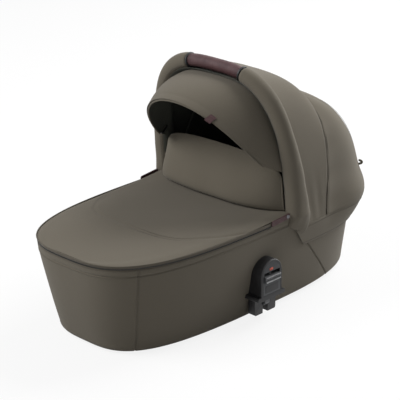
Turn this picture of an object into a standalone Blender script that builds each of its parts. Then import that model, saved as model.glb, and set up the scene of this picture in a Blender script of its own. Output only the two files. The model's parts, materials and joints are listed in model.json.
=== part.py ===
"""Carrycot for a pushchair: covered tub, apron, wind guard, folding hood with carry bow, two adapters.

Metres, +Z up, floor at z = 0, foot end towards -Y, head end towards +Y.
Every size that can be set by itself is a named value below. Places follow from those values.
Run it in Blender 4.5; each object is one closed solid and carries its own material.
"""

import math

import bmesh
import bpy
import numpy as np
from mathutils import Vector

for old in list(bpy.data.objects):
    bpy.data.objects.remove(old, do_unlink=True)

# General clearances and sheet thicknesses
GAP = 0.0003
OVERRUN = 0.004
COVER_SHEET = 0.002
SKIRT_SHEET = 0.0025
LINING_SHEET = 0.0015
HOOD_SHEET = 0.003
HOOD_SIDE_OUTSET = 0.003

# Outline of the tub, seen from above: one half-width and unlike reaches to foot and head
RIM_HALF_WIDTH = 0.2021
RIM_FOOT_REACH = 0.420
RIM_HEAD_REACH = 0.400
RIM_HEIGHT = 0.2236
SILL_HALF_WIDTH = 0.172
SILL_FOOT_REACH = 0.376
SILL_HEAD_REACH = 0.397
SILL_HEIGHT = 0.030
FLOOR_INSET = 0.026
FLOOR_HEIGHT = 0.0035
TURN_UNDER = 0.022
OUTLINE_POWER_SHARE = 3.12

# Zip band and piping round the apron
ZIP_BAND_HEIGHT = 0.0146
ZIP_BAND_SHEET = 0.002
PIPING_RADIUS = 0.0016
BAND_HEAD_END = 0.004

# Seams of the outer cover
FOOT_SEAM_REACH = 0.068
HEAD_SEAM_TOP_Y = 0.062
HEAD_SEAM_BOTTOM_Y = 0.262

# Base tray
FEET_HEIGHT = 0.0052
FOOT_RADIUS = 0.015
FEET_SIDE_INSET = 0.086
FEET_FOOT_INSET = 0.144
FEET_HEAD_INSET = 0.165
TRAY_CLEARANCE = 0.002
TRAY_CHAMFER = 0.010
TRAY_WALL = 0.003
TRAY_HEIGHT = 0.046
RIB_HEIGHT = 0.004
RIB_WIDTH = 0.003
RIB_COUNT = 6
VENT_LENGTH = 0.070
VENT_WIDTH = 0.008
VENT_COUNT = 5

# Wall board, rim frame and uprights
BOARD_THICKNESS = 0.009
BOARD_DROP = 0.0256
FRAME_RADIUS = 0.006
FRAME_INSET = 0.0135
FRAME_DROP = 0.0188
UPRIGHT_WIDTH = 0.034
UPRIGHT_THICKNESS = 0.003

# Mattress
MATTRESS_THICKNESS = 0.036
MATTRESS_CROWN = 0.007
MATTRESS_SIDE_GAP = 0.006

# Apron
APRON_THICKNESS = 0.005
APRON_CROWN = 0.014
APRON_HEAD_Y = 0.040
APRON_EDGE_CLEARANCE = 0.0014
APRON_TIP = 0.004

# Hood joints
PIVOT_RISE = 0.0184
PIN_RADIUS = 0.004
HUB_RADIUS = 0.017
HUB_INNER_X = 0.1805
CAP_RADIUS = 0.026
CAP_BULGE = 0.016
CAP_CLEARANCE = 0.0025
HOUSING_THICKNESS = 0.0165
HOUSING_REAR = 0.050
HOUSING_CORNER = 0.006
MID_EYE_THICKNESS = 0.005
MID_EYE_RADIUS = 0.010
BUTTON_RADIUS = 0.0055
BUTTON_STAND = 0.0045
BUTTON_TRAVEL = 0.0035
BUTTON_REACH = 0.032

# Carry bow
BOW_HALF_WIDTH = 0.2005
BOW_RADIUS = 0.008
BOW_BORE = 0.0064
SPIGOT_RADIUS = 0.0048
SPIGOT_LENGTH = 0.020
SLEEVE_CLEARANCE = 0.0009
BOW_FOOT_Y = 0.0973
BOW_TOP_Z = 0.536
BOW_TOP_Y = 0.0415
BOW_FOOT_DROP = 0.0403
BOW_POWER_SHARE = 3.16
BUMPER_RADIUS = 0.0195
GRIP_RADIUS = 0.0145
GRIP_HALF_LENGTH = 0.0745
RING_RADIUS = 0.0178
RING_WIDTH = 0.0045

# Mid bow of the hood
MID_RADIUS = 0.003
MID_HALF_WIDTH = 0.176
MID_JOGGLE = 0.025
MID_POWER_SHARE = 3.6

# Hood fabric
HOOD_SEAM_Y = 0.199
HOOD_FOOT_DROP = 0.0336
HOOD_MID_TOP_Z = 0.4515
HOOD_MID_POWER_SHARE = 4.1
HOOD_REAR_POWER_SHARE = 1.78
HOOD_CROWN = 0.027
HOOD_CROWN_RISE_SHARE = 1.7
HOOD_CROWN_FALL_SHARE = 0.45
HOOD_CROWN_SIDE_SHARE = 5.0
HOOD_REAR_OUTSET = 0.0165
HOOD_FLARE = 0.0144
HOOD_FLARE_SPREAD = 0.032
HOOD_FLARE_START_Y = 0.205
HOOD_FLARE_FULL_Y = 0.340
SKIRT_FRONT_Y = 0.128
SKIRT_HEIGHT = 0.055
SKIRT_FALL = 0.013
LOOP_RISE = 0.072
LOOP_Y = 0.352
LOOP_SIZE = 0.011
LOOP_WIRE = 0.0014

# Visor
VISOR_PIVOT_Y = 0.020
VISOR_PIVOT_Z = 0.345
VISOR_HALF_WIDTH = 0.160
VISOR_EDGE_Y = -0.086
VISOR_EDGE_Z = 0.477
VISOR_POWER_SHARE = 1.9
VISOR_WIRE_RADIUS = 0.0016
VISOR_SHEET = 0.0022
VISOR_BULGE = 0.012
VISOR_START_Z = 0.352
LUG_THICKNESS = 0.003
LUG_RADIUS = 0.0042
LUG_BORE = 0.0023
TAB_X = 0.080
TAB_WIDTH = 0.016
TAB_LENGTH = 0.017
TAB_SHEET = 0.0024

# Wind guard
GUARD_FOOT_Y = 0.026
GUARD_AXIS_RISE = 0.006
GUARD_TOP_Z = 0.349
GUARD_HALF_WIDTH = 0.1795
GUARD_TOP_NARROWING = 0.004
GUARD_FOOT_BACK = 0.034
GUARD_FOOT_CORNER = 0.008
GUARD_TOP_Y = 0.062
GUARD_TOP_FORWARD = 0.014
GUARD_TOP_CORNER = 0.026
GUARD_EDGE_THICKNESS = 0.004
GUARD_PADDING = 0.009
GUARD_BULGE = 0.022
GUARD_POWER_SHARE = 5.0

# Side straps
STRAP_START_Y = -0.006
STRAP_END_Y = 0.062
STRAP_HEIGHT = 0.013
STRAP_SHEET = 0.002
STRAP_RISE = 0.009

# Adapters
ADAPTER_Y = -0.009
ADAPTER_HALF_WIDTH = 0.034
ADAPTER_TOP = 0.150
ADAPTER_FRONT_X = 0.2177
COLLAR_BOTTOM = 0.058
COLLAR_HEIGHT = 0.010
COLLAR_HALF_WIDTH = 0.044
PRONG_BOTTOM = 0.018
PRONG_FRONT_X = 0.1990
PRONG_BACK_X = 0.1795
NOTCH_HALF_WIDTH = 0.0082
NOTCH_HEIGHT = 0.032
BOSS_HALF_WIDTH = 0.014
BOSS_BOTTOM = 0.078
BOSS_TOP = 0.126
FACE_MARGIN = 0.006
FACE_DEPTH = 0.0016
FACE_BOTTOM = 0.070
LEVER_BOTTOM = 0.100
LEVER_HEIGHT = 0.014
LEVER_STAND = 0.0050
LEVER_TRAVEL = 0.008
LEVER_POCKET_DEPTH = 0.014
LEVER_SIDE_CLEARANCE = 0.0012
LEVER_RIB_COUNT = 3
LATCH_STAND = 0.006
LATCH_HEIGHT = 0.014
LATCH_TRAVEL = 0.005
SPRING_RADIUS = 0.0034
SPRING_WIRE = 0.0007
SPRING_TURNS = 5
SPRING_REACH = 0.012

# Counts of steps, chosen for smooth but light solids
RING_STEPS = 40
BOW_STEPS = 28
HUB_STEPS = 16
TUBE_SIDES = 8
FRAME_SIDES = 6

# Heights that follow the rim, and rest feet that follow the sill
BOARD_TOP = RIM_HEIGHT - BOARD_DROP
FRAME_HEIGHT = RIM_HEIGHT - FRAME_DROP
PIVOT_Z = RIM_HEIGHT + PIVOT_RISE
BOW_FOOT_Z = PIVOT_Z - BOW_FOOT_DROP
HOOD_FOOT_Z = RIM_HEIGHT - HOOD_FOOT_DROP
REST_FEET_X = SILL_HALF_WIDTH - FEET_SIDE_INSET
REST_FEET_Y = {"foot": FEET_FOOT_INSET - SILL_FOOT_REACH, "head": SILL_HEAD_REACH - FEET_HEAD_INSET}

# The whole part is centred on its own length
SHIFT_Y = (RIM_FOOT_REACH - GAP - RIM_HEAD_REACH - HOOD_REAR_OUTSET - HOOD_FLARE) / 2


# Materials

def finish(name, colour, roughness, metallic=0.0):
    """A Principled material of one colour."""
    material = bpy.data.materials.new(name)
    material.use_nodes = True
    shader = material.node_tree.nodes["Principled BSDF"]
    shader.inputs["Base Color"].default_value = (*colour, 1.0)
    shader.inputs["Roughness"].default_value = roughness
    shader.inputs["Metallic"].default_value = metallic
    material.diffuse_color = (*colour, 1.0)
    return material


CANVAS = finish("canvas", (0.155, 0.135, 0.108), 0.9)
LINING = finish("lining", (0.022, 0.023, 0.018), 0.95)
LEATHER = finish("leather", (0.090, 0.040, 0.042), 0.55)
BLACK = finish("black_plastic", (0.012, 0.012, 0.013), 0.5)
DARK = finish("dark_plastic", (0.035, 0.037, 0.040), 0.45)
GREY = finish("grey_plastic", (0.340, 0.345, 0.350), 0.4)
RED = finish("red_plastic", (0.480, 0.075, 0.040), 0.5)
STEEL = finish("steel", (0.420, 0.420, 0.420), 0.35, 1.0)
BOARD = finish("board", (0.300, 0.290, 0.270), 0.9)
RUBBER = finish("rubber", (0.020, 0.020, 0.020), 0.8)
PAD = finish("pad", (0.420, 0.410, 0.390), 0.95)

ROOT = bpy.data.objects.new("carrycot", None)
ROOT.location = (0, SHIFT_Y, 0)
bpy.context.collection.objects.link(ROOT)


# Building tools

def make(name, points, faces, material, origin=(0, 0, 0)):
    """One object from points and faces, its origin set at the given place."""
    shift = np.asarray(origin, float)
    mesh = bpy.data.meshes.new(name)
    mesh.from_pydata([tuple(p) for p in np.asarray(points, float) - shift], [], faces)
    work = bmesh.new()
    work.from_mesh(mesh)
    bmesh.ops.recalc_face_normals(work, faces=work.faces)
    if work.calc_volume(signed=True) < 0:
        bmesh.ops.reverse_faces(work, faces=work.faces)
    work.to_mesh(mesh)
    work.free()
    mesh.shade_smooth()
    mesh.set_sharp_from_angle(angle=math.radians(35))
    mesh.materials.append(material)
    piece = bpy.data.objects.new(name, mesh)
    piece.location = shift
    piece.parent = ROOT
    bpy.context.collection.objects.link(piece)
    return piece


def loft(rings, closed_way=False):
    """Faces that join equal rings of points in order, with flat caps unless the way is closed."""
    count = len(rings[0])
    points = np.concatenate(rings)
    faces = []
    spans = len(rings) if closed_way else len(rings) - 1
    for row in range(spans):
        here = row * count
        there = (row + 1) % len(rings) * count
        for i in range(count):
            j = (i + 1) % count
            faces.append((here + i, here + j, there + j, there + i))
    if not closed_way:
        faces.append(tuple(range(count)))
        faces.append(tuple(reversed(range(points.shape[0] - count, points.shape[0]))))
    return points, faces


def slab(outer, inner):
    """A closed sheet between two grids of points (rows, columns, 3)."""
    rows, columns = outer.shape[:2]
    points = np.concatenate([outer.reshape(-1, 3), inner.reshape(-1, 3)])
    base = rows * columns

    def at(i, j, side):
        return side * base + i * columns + j

    faces = []
    for i in range(rows - 1):
        for j in range(columns - 1):
            faces.append((at(i, j, 0), at(i, j + 1, 0), at(i + 1, j + 1, 0), at(i + 1, j, 0)))
            faces.append((at(i, j, 1), at(i + 1, j, 1), at(i + 1, j + 1, 1), at(i, j + 1, 1)))
    for i in range(rows - 1):
        for j in (0, columns - 1):
            faces.append((at(i, j, 0), at(i + 1, j, 0), at(i + 1, j, 1), at(i, j, 1)))
    for j in range(columns - 1):
        for i in (0, rows - 1):
            faces.append((at(i, j, 0), at(i, j, 1), at(i, j + 1, 1), at(i, j + 1, 0)))
    return points, faces


def tube(path, radii, sides=TUBE_SIDES, closed_way=False, bore=None):
    """A round bar, or a sleeve when a bore is given, along a path of points."""
    path = np.asarray(path, float)
    radii = np.broadcast_to(np.asarray(radii, float), (len(path),))
    if closed_way:
        ahead = np.roll(path, -1, 0) - np.roll(path, 1, 0)
    else:
        ahead = np.gradient(path, axis=0)
    ahead /= np.linalg.norm(ahead, axis=1)[:, None]
    side = np.cross(ahead[0], (0.0, 1.0, 0.001))
    if np.linalg.norm(side) < 0.1:
        side = np.cross(ahead[0], (0.0, 0.0, 1.0))
    frames = []
    for step in ahead:
        side = side - step * side.dot(step)
        side = side / np.linalg.norm(side)
        frames.append((side, np.cross(step, side)))
    turn = np.arange(sides) * 2 * math.pi / sides

    def ring(index, radius):
        first, second = frames[index]
        wave = np.outer(np.cos(turn), first) + np.outer(np.sin(turn), second)
        return path[index] + radius * wave

    outer = [ring(i, radii[i]) for i in range(len(path))]
    if bore is None:
        return loft(outer, closed_way)
    inner = [ring(i, bore) for i in reversed(range(len(path)))]
    return loft(outer + inner, True)


def prism(outline, low, high, axis="x"):
    """An outline of (a, b) pairs, carried from low to high along one axis."""
    rings = []
    for level in (low, high):
        if axis == "x":
            rings.append(np.array([(level, a, b) for a, b in outline]))
        elif axis == "y":
            rings.append(np.array([(a, level, b) for a, b in outline]))
        else:
            rings.append(np.array([(a, b, level) for a, b in outline]))
    return loft(rings)


def turned(profile, centre, axis="x", steps=20):
    """A profile of (place along the axis, radius) turned round the axis."""
    turn = np.arange(steps) * 2 * math.pi / steps
    rings = []
    for place, radius in profile:
        a = radius * np.cos(turn)
        b = radius * np.sin(turn)
        flat = np.full_like(a, place)
        if axis == "x":
            ring = np.stack([flat, a, b], 1)
        elif axis == "y":
            ring = np.stack([a, flat, b], 1)
        else:
            ring = np.stack([a, b, flat], 1)
        rings.append(ring + np.asarray(centre, float))
    return rings


def disc(name, profile, centre, material, axis="x", steps=20, bored=False, origin=(0, 0, 0)):
    """A turned piece: solid, or a closed ring when the profile runs round its section."""
    points, faces = loft(turned(profile, centre, axis, steps), bored)
    return make(name, points, faces, material, origin)


def box(x, y, z):
    """The eight corners and six faces of a block between paired limits."""
    return prism([(y[0], z[0]), (y[1], z[0]), (y[1], z[1]), (y[0], z[1])], x[0], x[1], "x")


def combine(piece, points, faces, operation):
    """Join or cut a piece with a hidden helper solid."""
    helper = make(piece.name + "_helper", points, faces, BLACK)
    helper.hide_render = True
    helper.display_type = "WIRE"
    step = piece.modifiers.new("shape", "BOOLEAN")
    step.operation = operation
    step.solver = "EXACT"
    step.object = helper
    return helper


def fillet_corners(outline, radius, steps=4):
    """The outline with each corner rounded by an arc of the given radius."""
    result = []
    count = len(outline)
    for i in range(count):
        here = Vector(outline[i])
        back = (Vector(outline[i - 1]) - here).normalized()
        ahead = (Vector(outline[(i + 1) % count]) - here).normalized()
        half = back.angle(ahead) / 2
        reach = radius / math.tan(half)
        start = here + back * reach
        middle = here + (back + ahead).normalized() * (radius / math.sin(half))
        sweep = math.pi - 2 * half
        first = start - middle
        side = 1 if back.x * ahead.y - back.y * ahead.x < 0 else -1
        for k in range(steps + 1):
            angle = side * sweep * k / steps
            spun = Vector((first.x * math.cos(angle) - first.y * math.sin(angle),
                           first.x * math.sin(angle) + first.y * math.cos(angle)))
            result.append(tuple(middle + spun))
    return result


# Form of the tub

def outline_at(height):
    """Half-width, foot reach and head reach of the cover's outer face at a height."""
    if height >= SILL_HEIGHT:
        share = (height - SILL_HEIGHT) / (RIM_HEIGHT - SILL_HEIGHT)
        return (SILL_HALF_WIDTH + (RIM_HALF_WIDTH - SILL_HALF_WIDTH) * share,
                SILL_FOOT_REACH + (RIM_FOOT_REACH - SILL_FOOT_REACH) * share,
                SILL_HEAD_REACH + (RIM_HEAD_REACH - SILL_HEAD_REACH) * share)
    share = (height - FLOOR_HEIGHT) / (SILL_HEIGHT - FLOOR_HEIGHT)
    inset = FLOOR_INSET * (1 - math.sqrt(max(0.0, 1 - (1 - share) ** 2)))
    return (SILL_HALF_WIDTH - inset, SILL_FOOT_REACH - inset, SILL_HEAD_REACH - inset)


def rounded(angle, sizes, inset=0.0):
    """Points (x, y) of the outline at angles measured from +X towards the head, moved in by inset."""
    wide, foot, head = sizes
    c, s = np.cos(angle), np.sin(angle)
    power = 2 / OUTLINE_POWER_SHARE
    reach = np.where(s < 0, foot, head)
    x = wide * np.sign(c) * np.abs(c) ** power
    y = reach * np.sign(s) * np.abs(s) ** power
    nx = np.sign(c) * np.abs(c) ** (2 - power) / wide
    ny = np.sign(s) * np.abs(s) ** (2 - power) / reach
    size = np.hypot(nx, ny)
    return x - inset * nx / size, y - inset * ny / size


def angle_of(y, sizes):
    """Angle on the +X side at which the outline reaches y."""
    reach = sizes[1] if y < 0 else sizes[2]
    return math.copysign(math.asin(min(1.0, (abs(y) / reach)) ** (OUTLINE_POWER_SHARE / 2)), y)


def tub_ring(height, inset, angles):
    """One row of points on the tub's wall."""
    x, y = rounded(angles, outline_at(height), inset)
    return np.stack([x, y, np.full_like(x, height)], 1)


def wall_x(height, inset=0.0):
    """Where the tub's long side stands at a height, half-way along."""
    return outline_at(height)[0] - inset


FULL_TURN = np.arange(RING_STEPS) * 2 * math.pi / RING_STEPS
SIDES = {"right": 1, "left": -1}
BAND_BOTTOM = RIM_HEIGHT - ZIP_BAND_HEIGHT
UPRIGHT_INSET = COVER_SHEET + GAP * 4
BOARD_INSET = UPRIGHT_INSET + UPRIGHT_THICKNESS + GAP
LINING_INSET = BOARD_INSET + BOARD_THICKNESS + GAP * 3
TRAY_BOTTOM = FEET_HEIGHT + GAP
TRAY_FLOOR = TRAY_BOTTOM + TRAY_WALL
LINING_BOTTOM = TRAY_FLOOR + RIB_HEIGHT + GAP
MATTRESS_BOTTOM = LINING_BOTTOM + LINING_SHEET + GAP


def mirror(points, side):
    """The same points on the named side of the carrycot."""
    moved = np.array(points, float)
    moved[:, 0] *= side
    return moved


# Base tray with ribs, vents and feet

def build_base():
    """The moulded tray that closes the tub from below, and the pads it stands on."""
    inset = UPRIGHT_INSET + TRAY_CLEARANCE
    levels = np.array([SILL_HEIGHT / 2, SILL_HEIGHT, TRAY_HEIGHT])
    low = tub_ring(SILL_HEIGHT / 4, inset + TRAY_CHAMFER, FULL_TURN)
    low[:, 2] = TRAY_BOTTOM
    outer = [low] + [tub_ring(z, inset, FULL_TURN) for z in levels]
    inner = [tub_ring(z, inset + TRAY_WALL, FULL_TURN) for z in levels[::-1]]
    floor = tub_ring(SILL_HEIGHT / 4, inset + TRAY_CHAMFER + TRAY_WALL, FULL_TURN)
    floor[:, 2] = TRAY_FLOOR
    tray = make("base_tray", *loft(outer + inner + [floor]), BLACK)

    reach = SILL_FOOT_REACH - FLOOR_INSET - FEET_HEIGHT
    pitch = 2 * reach / (RIB_COUNT + 1)
    for i in range(RIB_COUNT):
        y = -reach + pitch * (i + 1)
        share = (abs(y) / SILL_FOOT_REACH) ** OUTLINE_POWER_SHARE
        half = SILL_HALF_WIDTH * (1 - share) ** (1 / OUTLINE_POWER_SHARE) - FLOOR_INSET - OVERRUN * 2
        rib = box((-half, half), (y - RIB_WIDTH / 2, y + RIB_WIDTH / 2),
                  (TRAY_FLOOR - TRAY_WALL / 2, TRAY_FLOOR + RIB_HEIGHT))
        combine(tray, *rib, "UNION").name = f"rib_guide_{i}"
    for i in range(VENT_COUNT):
        y = (i - (VENT_COUNT - 1) / 2) * pitch
        half, low, high = VENT_LENGTH / 2, y - VENT_WIDTH / 2, y + VENT_WIDTH / 2
        ends = fillet_corners([(-half, low), (half, low), (half, high), (-half, high)],
                              VENT_WIDTH / 2 - GAP)
        slot = prism(ends, TRAY_BOTTOM - OVERRUN, TRAY_FLOOR + OVERRUN, "z")
        combine(tray, *slot, "DIFFERENCE").name = f"vent_guide_{i}"

    for name, side in SIDES.items():
        for end, y in REST_FEET_Y.items():
            profile = [(0, FOOT_RADIUS - FEET_HEIGHT / 4), (FEET_HEIGHT / 4, FOOT_RADIUS),
                       (FEET_HEIGHT, FOOT_RADIUS)]
            disc(f"rest_foot_{end}_{name}", profile, (side * REST_FEET_X, y, 0), RUBBER, "z")


# Wall board, frame, lining and mattress

def build_inside():
    """What stiffens the tub and what the child lies on."""
    bottom = TRAY_HEIGHT + GAP
    levels = [bottom, BOARD_TOP]
    rings = [tub_ring(z, BOARD_INSET, FULL_TURN) for z in levels]
    rings += [tub_ring(z, BOARD_INSET + BOARD_THICKNESS, FULL_TURN) for z in levels[::-1]]
    make("wall_board", *loft(rings, True), BOARD)

    frame = tub_ring(FRAME_HEIGHT, FRAME_INSET, FULL_TURN)
    make("rim_frame", *tube(frame, FRAME_RADIUS, FRAME_SIDES, closed_way=True), STEEL)

    for name, side in SIDES.items():
        levels = np.linspace(TRAY_HEIGHT + GAP, FRAME_HEIGHT - FRAME_RADIUS - GAP, 5)
        sheet = []
        for inset in (UPRIGHT_INSET, UPRIGHT_INSET + UPRIGHT_THICKNESS):
            sheet.append(np.array([[(wall_x(z, inset), ADAPTER_Y + across, z)
                                    for across in (-UPRIGHT_WIDTH / 2, UPRIGHT_WIDTH / 2)]
                                   for z in levels]))
        points, faces = slab(*sheet)
        make(f"side_upright_{name}", mirror(points, side), faces, STEEL)

    top = BOARD_TOP + GAP
    inset = LINING_INSET
    levels = np.array([SILL_HEIGHT, top])
    low = tub_ring(SILL_HEIGHT / 2, inset, FULL_TURN)
    low[:, 2] = LINING_BOTTOM
    outer = [low] + [tub_ring(z, inset, FULL_TURN) for z in levels]
    inner = [tub_ring(z, inset + LINING_SHEET, FULL_TURN) for z in levels[::-1]]
    floor = tub_ring(SILL_HEIGHT / 2, inset + LINING_SHEET, FULL_TURN)
    floor[:, 2] = LINING_BOTTOM + LINING_SHEET
    make("inner_lining", *loft(outer + inner + [floor]), LINING)

    side = LINING_INSET + LINING_SHEET + MATTRESS_SIDE_GAP
    flat = MATTRESS_THICKNESS
    profile_share = ((0.0, 0.28), (0.10, 0.06), (0.30, 0.0), (0.50, 0.04), (0.72, 0.0), (0.92, 0.11),
                     (1.0, 0.33))
    rings = []
    for share, draw in profile_share:
        ring = tub_ring(SILL_HEIGHT, side + draw * flat, FULL_TURN)
        ring[:, 2] = MATTRESS_BOTTOM + share * flat
        rings.append(ring)
    for share in (0.86, 0.62, 0.34, 0.10):
        ring = rings[6].copy()
        ring[:, :2] *= share
        ring[:, 2] = MATTRESS_BOTTOM + flat + MATTRESS_CROWN * (1 - share ** 2)
        rings.append(ring)
    make("mattress", *loft(rings), PAD)


# Outer cover

def cover_profile():
    """Rows (height, inset) up the cover, from under the base to its top edge."""
    rows = [(FLOOR_HEIGHT, TURN_UNDER), (FLOOR_HEIGHT, 0.0)]
    for share in (0.12, 0.35, 0.65):
        rows.append((FLOOR_HEIGHT + (SILL_HEIGHT - FLOOR_HEIGHT) * share, 0.0))
    for height in np.linspace(SILL_HEIGHT, BAND_BOTTOM - GAP, 4):
        rows.append((height, 0.0))
    return rows


def cover_panel(start_of, end_of, columns):
    """A sheet of the cover between two seams, each given as an angle that may change with height."""
    outer, inner = [], []
    for height, inset in cover_profile():
        sizes = outline_at(height)
        angles = np.linspace(start_of(height, sizes), end_of(height, sizes), columns)
        outer.append(tub_ring(height, inset, angles))
        row = tub_ring(height, inset + (COVER_SHEET if inset == 0 else 0), angles)
        if height == FLOOR_HEIGHT:
            row[:, 2] += LINING_SHEET
        inner.append(row)
    return slab(np.array(outer), np.array(inner))


def seam_half(sizes):
    """Half of the gap between two panels, as an angle on the outline."""
    return GAP / 2 / sizes[0]


def head_seam_y(height):
    """The slanted seam near the head: further towards the head lower down."""
    share = min(1.0, max(0.0, (height - FLOOR_HEIGHT) / (RIM_HEIGHT - FLOOR_HEIGHT)))
    return HEAD_SEAM_BOTTOM_Y + (HEAD_SEAM_TOP_Y - HEAD_SEAM_BOTTOM_Y) * share


def build_cover():
    """Four sewn panels: foot, right, left and head."""
    def foot_seam(height, sizes):
        return angle_of((FOOT_SEAM_REACH / RIM_FOOT_REACH - 1) * sizes[1], sizes)

    def head_seam(height, sizes):
        return angle_of(head_seam_y(height), sizes)

    def foot_right(height, sizes):
        return foot_seam(height, sizes) - seam_half(sizes)

    def foot_left(height, sizes):
        return -math.pi - foot_seam(height, sizes) + seam_half(sizes)

    def side_start(height, sizes):
        return foot_seam(height, sizes) + seam_half(sizes)

    def side_end(height, sizes):
        return head_seam(height, sizes) - seam_half(sizes)

    def head_start(height, sizes):
        return head_seam(height, sizes) + seam_half(sizes)

    def head_end(height, sizes):
        return math.pi - head_seam(height, sizes) - seam_half(sizes)

    make("cover_foot", *cover_panel(foot_left, foot_right, 19), CANVAS)
    make("cover_head", *cover_panel(head_start, head_end, 25), CANVAS)
    for name, side in SIDES.items():
        points, faces = cover_panel(side_start, side_end, 15)
        panel = make(f"cover_{name}", mirror(points, side), faces, CANVAS)
        hole = box((wall_x(FLOOR_HEIGHT), wall_x(RIM_HEIGHT)),
                   (ADAPTER_Y - BOSS_HALF_WIDTH - GAP, ADAPTER_Y + BOSS_HALF_WIDTH + GAP),
                   (BOSS_BOTTOM - GAP, BOSS_TOP + GAP))
        combine(panel, mirror(hole[0], side), hole[1], "DIFFERENCE")


# Apron, zip band and piping

def band_angles(columns):
    """Angles from the right end of the zip band round the foot to its left end."""
    start = angle_of(BAND_HEAD_END, outline_at(RIM_HEIGHT))
    return np.linspace(start, -math.pi - start, columns)


def build_apron():
    """The cover over the legs, closed by a zip band between two runs of piping."""
    angles = band_angles(37)
    heights = (BAND_BOTTOM + PIPING_RADIUS * 2 + GAP, RIM_HEIGHT - PIPING_RADIUS - GAP)
    outer = np.array([tub_ring(z, PIPING_RADIUS / 2, angles) for z in heights])
    inner = np.array([tub_ring(z, PIPING_RADIUS / 2 + ZIP_BAND_SHEET, angles) for z in heights])
    make("zip_band", *slab(outer, inner), CANVAS)
    for name, height in (("piping_lower", BAND_BOTTOM + PIPING_RADIUS), ("piping_upper", RIM_HEIGHT)):
        make(name, *tube(tub_ring(height, PIPING_RADIUS, angles), PIPING_RADIUS - GAP, 5), CANVAS)

    edge = PIPING_RADIUS * 2 + APRON_EDGE_CLEARANCE
    wide, foot, head = outline_at(RIM_HEIGHT)
    rows = 13
    columns = 13
    lean = np.linspace(0.0, math.pi / 2, rows)
    foot_end = foot - edge
    ys = -foot_end + APRON_TIP + (APRON_HEAD_Y + foot_end - APRON_TIP) * (1 - np.cos(lean))
    outer, inner = [], []
    across = np.sin(np.linspace(-math.pi / 2, math.pi / 2, columns))
    for y in ys:
        reach = foot_end if y < 0 else head
        half = (wide - edge) * (1 - (abs(y) / reach) ** OUTLINE_POWER_SHARE) ** (1 / OUTLINE_POWER_SHARE)
        lift = 1 - abs(min(y, 0.0) / foot_end) ** 4
        top = RIM_HEIGHT + APRON_CROWN * (1 - np.abs(across) ** 4) * lift
        row = np.stack([half * across, np.full(columns, y), top], 1)
        outer.append(row)
        under = row.copy()
        under[:, 2] -= APRON_THICKNESS
        inner.append(under)
    make("apron_panel", *slab(np.array(outer), np.array(inner)), CANVAS)


# Hood

def hood_outset(height, y):
    """How far the hood's rear fabric stands out from the rim at a height and a place along the side."""
    share = np.clip((y - HOOD_FLARE_START_Y) / (HOOD_FLARE_FULL_Y - HOOD_FLARE_START_Y), 0, 1)
    share = share * share * (3 - 2 * share)
    flare = HOOD_FLARE * np.exp(-((height - HOOD_FOOT_Z) / HOOD_FLARE_SPREAD) ** 2)
    return HOOD_SIDE_OUTSET + (HOOD_REAR_OUTSET - HOOD_SIDE_OUTSET + flare) * share


def rim_frame_at(angles):
    """Rim points with their outward directions, as arrays x, y, nx, ny."""
    x, y = rounded(angles, outline_at(RIM_HEIGHT))
    xo, yo = rounded(angles, outline_at(RIM_HEIGHT), -1.0)
    return x, y, xo - x, yo - y


def hood_rear_row(share, angles, inward):
    """One row of the rear dome, share 0 at its foot and 1 at its top, moved in by a thickness."""
    lift = math.sin(share * math.pi / 2) ** (2 / HOOD_MID_POWER_SHARE)
    narrow = math.cos(share * math.pi / 2) ** (2 / HOOD_MID_POWER_SHARE)
    shorten = (1 - min(1.0, lift) ** HOOD_REAR_POWER_SHARE) ** (1 / HOOD_REAR_POWER_SHARE)
    x, y, nx, ny = rim_frame_at(angles)
    height = HOOD_FOOT_Z + (HOOD_MID_TOP_Z - HOOD_FOOT_Z - inward * lift) * lift
    out = hood_outset(height, y) - inward
    px = x * narrow + nx * out * max(narrow, 0.0)
    py = HOOD_SEAM_Y + (y - HOOD_SEAM_Y) * shorten + ny * out * max(shorten, 0.0)
    return np.stack([px, py, np.full_like(px, height)], 1)


def build_hood_fabric():
    """Rear dome, front panel between the bows, skirt band and the two pull loops."""
    sizes = outline_at(RIM_HEIGHT)
    start = angle_of(HOOD_SEAM_Y, sizes)
    angles = np.linspace(start, math.pi - start, 27)
    shares = np.append(np.linspace(0.0, 0.94, 10), 0.995)
    outer = np.array([hood_rear_row(s, angles, 0.0) for s in shares])
    inner = np.array([hood_rear_row(s, angles, HOOD_SHEET) for s in shares])
    floor = HOOD_SEAM_Y + GAP
    outer[:, :, 1] = np.maximum(outer[:, :, 1], floor)
    inner[:, :, 1] = np.maximum(inner[:, :, 1], floor)
    make("hood_rear_panel", *slab(outer, inner), CANVAS)


def crown_share(share):
    """How far the panel between the bows stands out, 0 at its edges and 1 where it stands out most."""
    rise, fall = HOOD_CROWN_RISE_SHARE, HOOD_CROWN_FALL_SHARE
    peak = rise / (rise + fall)
    return (share / peak) ** rise * ((1 - share) / (1 - peak)) ** fall


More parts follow.
